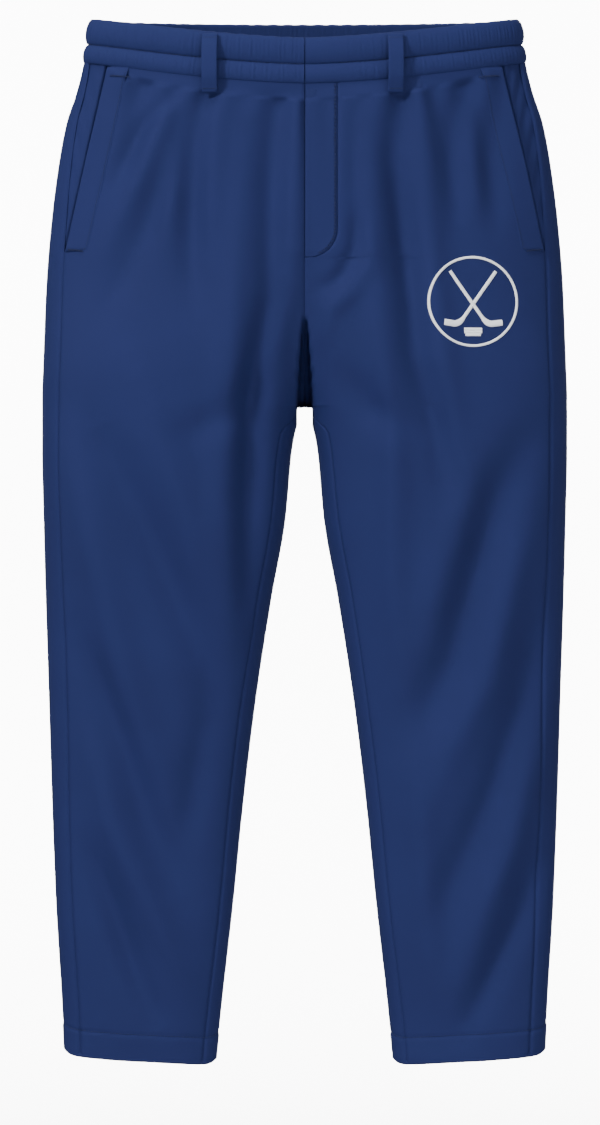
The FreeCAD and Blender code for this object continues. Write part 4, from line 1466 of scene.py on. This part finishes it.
def raised_band(name, route, width, height, closed=False):
    """A half-round satin-stitched band along a route of (across, up) from the emblem's middle."""
    shape = [(-1, -0.3), (-0.92, 0.35), (-0.6, 0.8), (0, 1.0), (0.6, 0.8), (0.92, 0.35), (1, -0.3)]
    rings = []
    count = len(route)
    for i, (x, up) in enumerate(route):
        a = route[(i - 1) % count] if closed or i else route[0]
        b = route[(i + 1) % count] if closed or i + 1 < count else route[-1]
        length = math.dist(a, b)
        normal = (-(b[1] - a[1]) / length, (b[0] - a[0]) / length)
        wide = width[i] if isinstance(width, list) else width
        places = [(EMBLEM[0] + x + normal[0] * u * wide / 2, EMBLEM[1] - up - normal[1] * u * wide / 2)
                  for u, _ in shape]
        across = np.array([place[0] for place in places])
        drop = np.array([place[1] for place in places])
        stitch = 0.10 * math.sin(i * 2.4)
        depth = -np.array([lift * (height + stitch) for _, lift in shape])
        face = skin(angle_at(across, drop), drop, depth, LEFT)
        rings.append(np.concatenate([face, face[-2:0:-1] + np.array([0, 0.5 * MM, 0])]))
    if closed:
        rings.append(rings[0])
    return swept(name, rings, closed_ends=not closed)


def curve_points(corners, step=0.9):
    """Points along runs between corners, with the turns eased."""
    places = along_line(corners, step)
    for _ in range(3):
        inside = [((a[0] + 2 * b[0] + c[0]) / 4, (a[1] + 2 * b[1] + c[1]) / 4)
                  for a, b, c in zip(places, places[1:], places[2:])]
        places = [places[0], *inside, places[-1]]
    return places


def emblem_ring():
    turns = [2 * math.pi * i / 220 for i in range(220)]
    radius = EMBLEM_RADIUS - 1.2
    route = [(math.cos(turn) * radius, math.sin(turn) * radius) for turn in turns]
    return raised_band("emblem_stitched_ring", route, 2.5, 0.75, closed=True)


def emblem_motif():
    """Two crossed hockey sticks over a puck."""
    parts = []
    for sign in (1, -1):
        shaft = curve_points([(sign * 22, 29), (sign * -10, -17), (sign * -13, -20), (sign * -17, -21.5),
                              (sign * -28, -20)])
        width = [3.4 if place[1] > -15 else 3.4 + min((-15 - place[1]) * 0.5, 2.8) for place in shaft]
        parts.append(raised_band(f"stick_{sign}", shaft, width, 0.8 if sign > 0 else 1.25))
    for up in (-26.6, -29.2, -31.8):
        half = 8.6 if up > -31 else 7.4
        parts.append(raised_band(f"puck_{up}", along_line([(-half, up), (half, up)], 0.8), 2.9, 0.7))
    return joined("emblem_stitched_motif", parts)


class MESH_OT_trouser_emblem(bpy.types.Operator):
    """Builds the embroidered ring and its crossed sticks on the left thigh"""

    bl_idname = "mesh.trouser_emblem"
    bl_label = "Emblem"

    def execute(self, context):
        finish_piece(emblem_ring(), material("embroidery"), "garment", "emblem_thread", "emblem_ring")
        finish_piece(emblem_motif(), material("embroidery"), "garment", "emblem_thread", "emblem_motif")
        return {"FINISHED"}


# ---------------------------------------------------------------- the stage


class SCENE_OT_trouser_stage(bpy.types.Operator):
    """Builds the floor, the backdrop, the lights and the camera"""

    bl_idname = "scene.trouser_stage"
    bl_label = "Stage"

    def execute(self, context):
        self.backdrop()
        self.lights()
        self.camera(context.scene.trousers_stage)
        return {"FINISHED"}

    def backdrop(self):
        """A floor that curves up into a wall behind the garment."""
        rows = []
        floor_height, curve, foot = -1.25, 0.8, 1.6
        for share in np.linspace(0, 1, 40):
            turn = share * math.pi / 2
            rows.append((foot + curve * math.sin(turn), floor_height + curve * (1 - math.cos(turn))))
        profile = [(-7.0, floor_height), *rows, (foot + curve, 3.5)]
        points = np.array([[(x, y, z) for x in (-6, -2, 2, 6)] for y, z in profile])
        floor = grid_object("backdrop", points)
        floor.data.materials.append(material("backdrop"))
        floor.visible_diffuse = floor.visible_glossy = floor.visible_shadow = False

    def lights(self):
        world = bpy.data.worlds.new("studio")
        sky = SkyMaker(world)
        looked_at = Value(sky, sky.node("ShaderNodeLightPath").outputs["Is Camera Ray"])
        sky.feed(sky.shader.inputs["Color"], (1, 1, 1, 1))
        sky.feed(sky.shader.inputs["Strength"], looked_at * 0.38 + 0.62)
        bpy.context.scene.world = world
        # name, place, size in metres and power in watts; the wall lamps shine on the wall behind
        rigs = [
            ("key", (-2.7, -2.5, 2.1), 0.7, 250),
            ("fill", (2.6, -2.8, 0.2), 1.8, 40),
            ("top", (-0.4, -0.9, 2.4), 1.0, 60),
            ("bounce", (0.3, -2.3, -1.5), 1.6, 50),
            ("back", (0.9, 2.9, 1.5), 0.8, 110),
            ("wall_left", (-1.5, 0.35, 0.1), 1.4, 520),
            ("wall_right", (1.5, 0.35, 0.1), 1.4, 520),
        ]
        for name, place, size, power in rigs:
            data = bpy.data.lights.new(name, "AREA")
            data.size, data.energy = size, power
            lamp = bpy.data.objects.new(name, data)
            lamp.location = place
            lamp.visible_camera = False
            behind = name.startswith("wall")
            aim = Vector((0, 1, -0.15)) if behind else Vector((0, 0, -0.5)) - Vector(place)
            lamp.rotation_euler = aim.to_track_quat("-Z", "Y").to_euler()
            bpy.context.scene.collection.objects.link(lamp)

    def camera(self, settings):
        data = bpy.data.cameras.new("camera")
        data.sensor_fit = "VERTICAL"
        data.sensor_height = 24
        data.lens = 24 * settings.distance / settings.view_height
        data.clip_end = 50
        camera = bpy.data.objects.new("camera", data)
        camera.location = (-0.0045, -settings.distance - 0.03, -0.5205)
        camera.rotation_euler = (math.pi / 2, 0, 0)
        bpy.context.scene.collection.objects.link(camera)
        bpy.context.scene.camera = camera


# ---------------------------------------------------------------- the add-on


class VIEW3D_PT_trousers(bpy.types.Panel):
    bl_label = "Team trousers"
    bl_idname = "VIEW3D_PT_trousers"
    bl_space_type = "VIEW_3D"
    bl_region_type = "UI"
    bl_category = "Trousers"

    def draw(self, context):
        layout = self.layout
        for settings in SETTINGS:
            group = getattr(context.scene, settings)
            for name in group.bl_rna.properties.keys():
                if name not in ("rna_type", "name"):
                    layout.prop(group, name)
        for operator in OPERATORS:
            layout.operator(operator.bl_idname)


SETTINGS = {"trousers_cloth": ClothSettings, "trousers_trim": TrimSettings, "trousers_stage": StageSettings}
OPERATORS = [
    SCENE_OT_trouser_stage,
    MESH_OT_trouser_panels,
    MESH_OT_trouser_fly,
    MESH_OT_trouser_pockets,
    MESH_OT_trouser_hems,
    MESH_OT_trouser_waistband,
    MESH_OT_trouser_belt_loops,
    MESH_OT_trouser_emblem,
]


def register():
    for group in [*SETTINGS.values(), *OPERATORS, VIEW3D_PT_trousers]:
        bpy.utils.register_class(group)
    for name, group in SETTINGS.items():
        setattr(bpy.types.Scene, name, bpy.props.PointerProperty(type=group))


def unregister():
    for name in SETTINGS:
        delattr(bpy.types.Scene, name)
    for group in reversed([*SETTINGS.values(), *OPERATORS, VIEW3D_PT_trousers]):
        bpy.utils.unregister_class(group)


def main():
    register()
    bpy.ops.scene.trouser_stage()
    bpy.ops.mesh.trouser_panels()
    bpy.ops.mesh.trouser_fly()
    bpy.ops.mesh.trouser_pockets()
    bpy.ops.mesh.trouser_hems()
    bpy.ops.mesh.trouser_waistband()
    bpy.ops.mesh.trouser_belt_loops()
    bpy.ops.mesh.trouser_emblem()


if __name__ == "__main__":
    main()
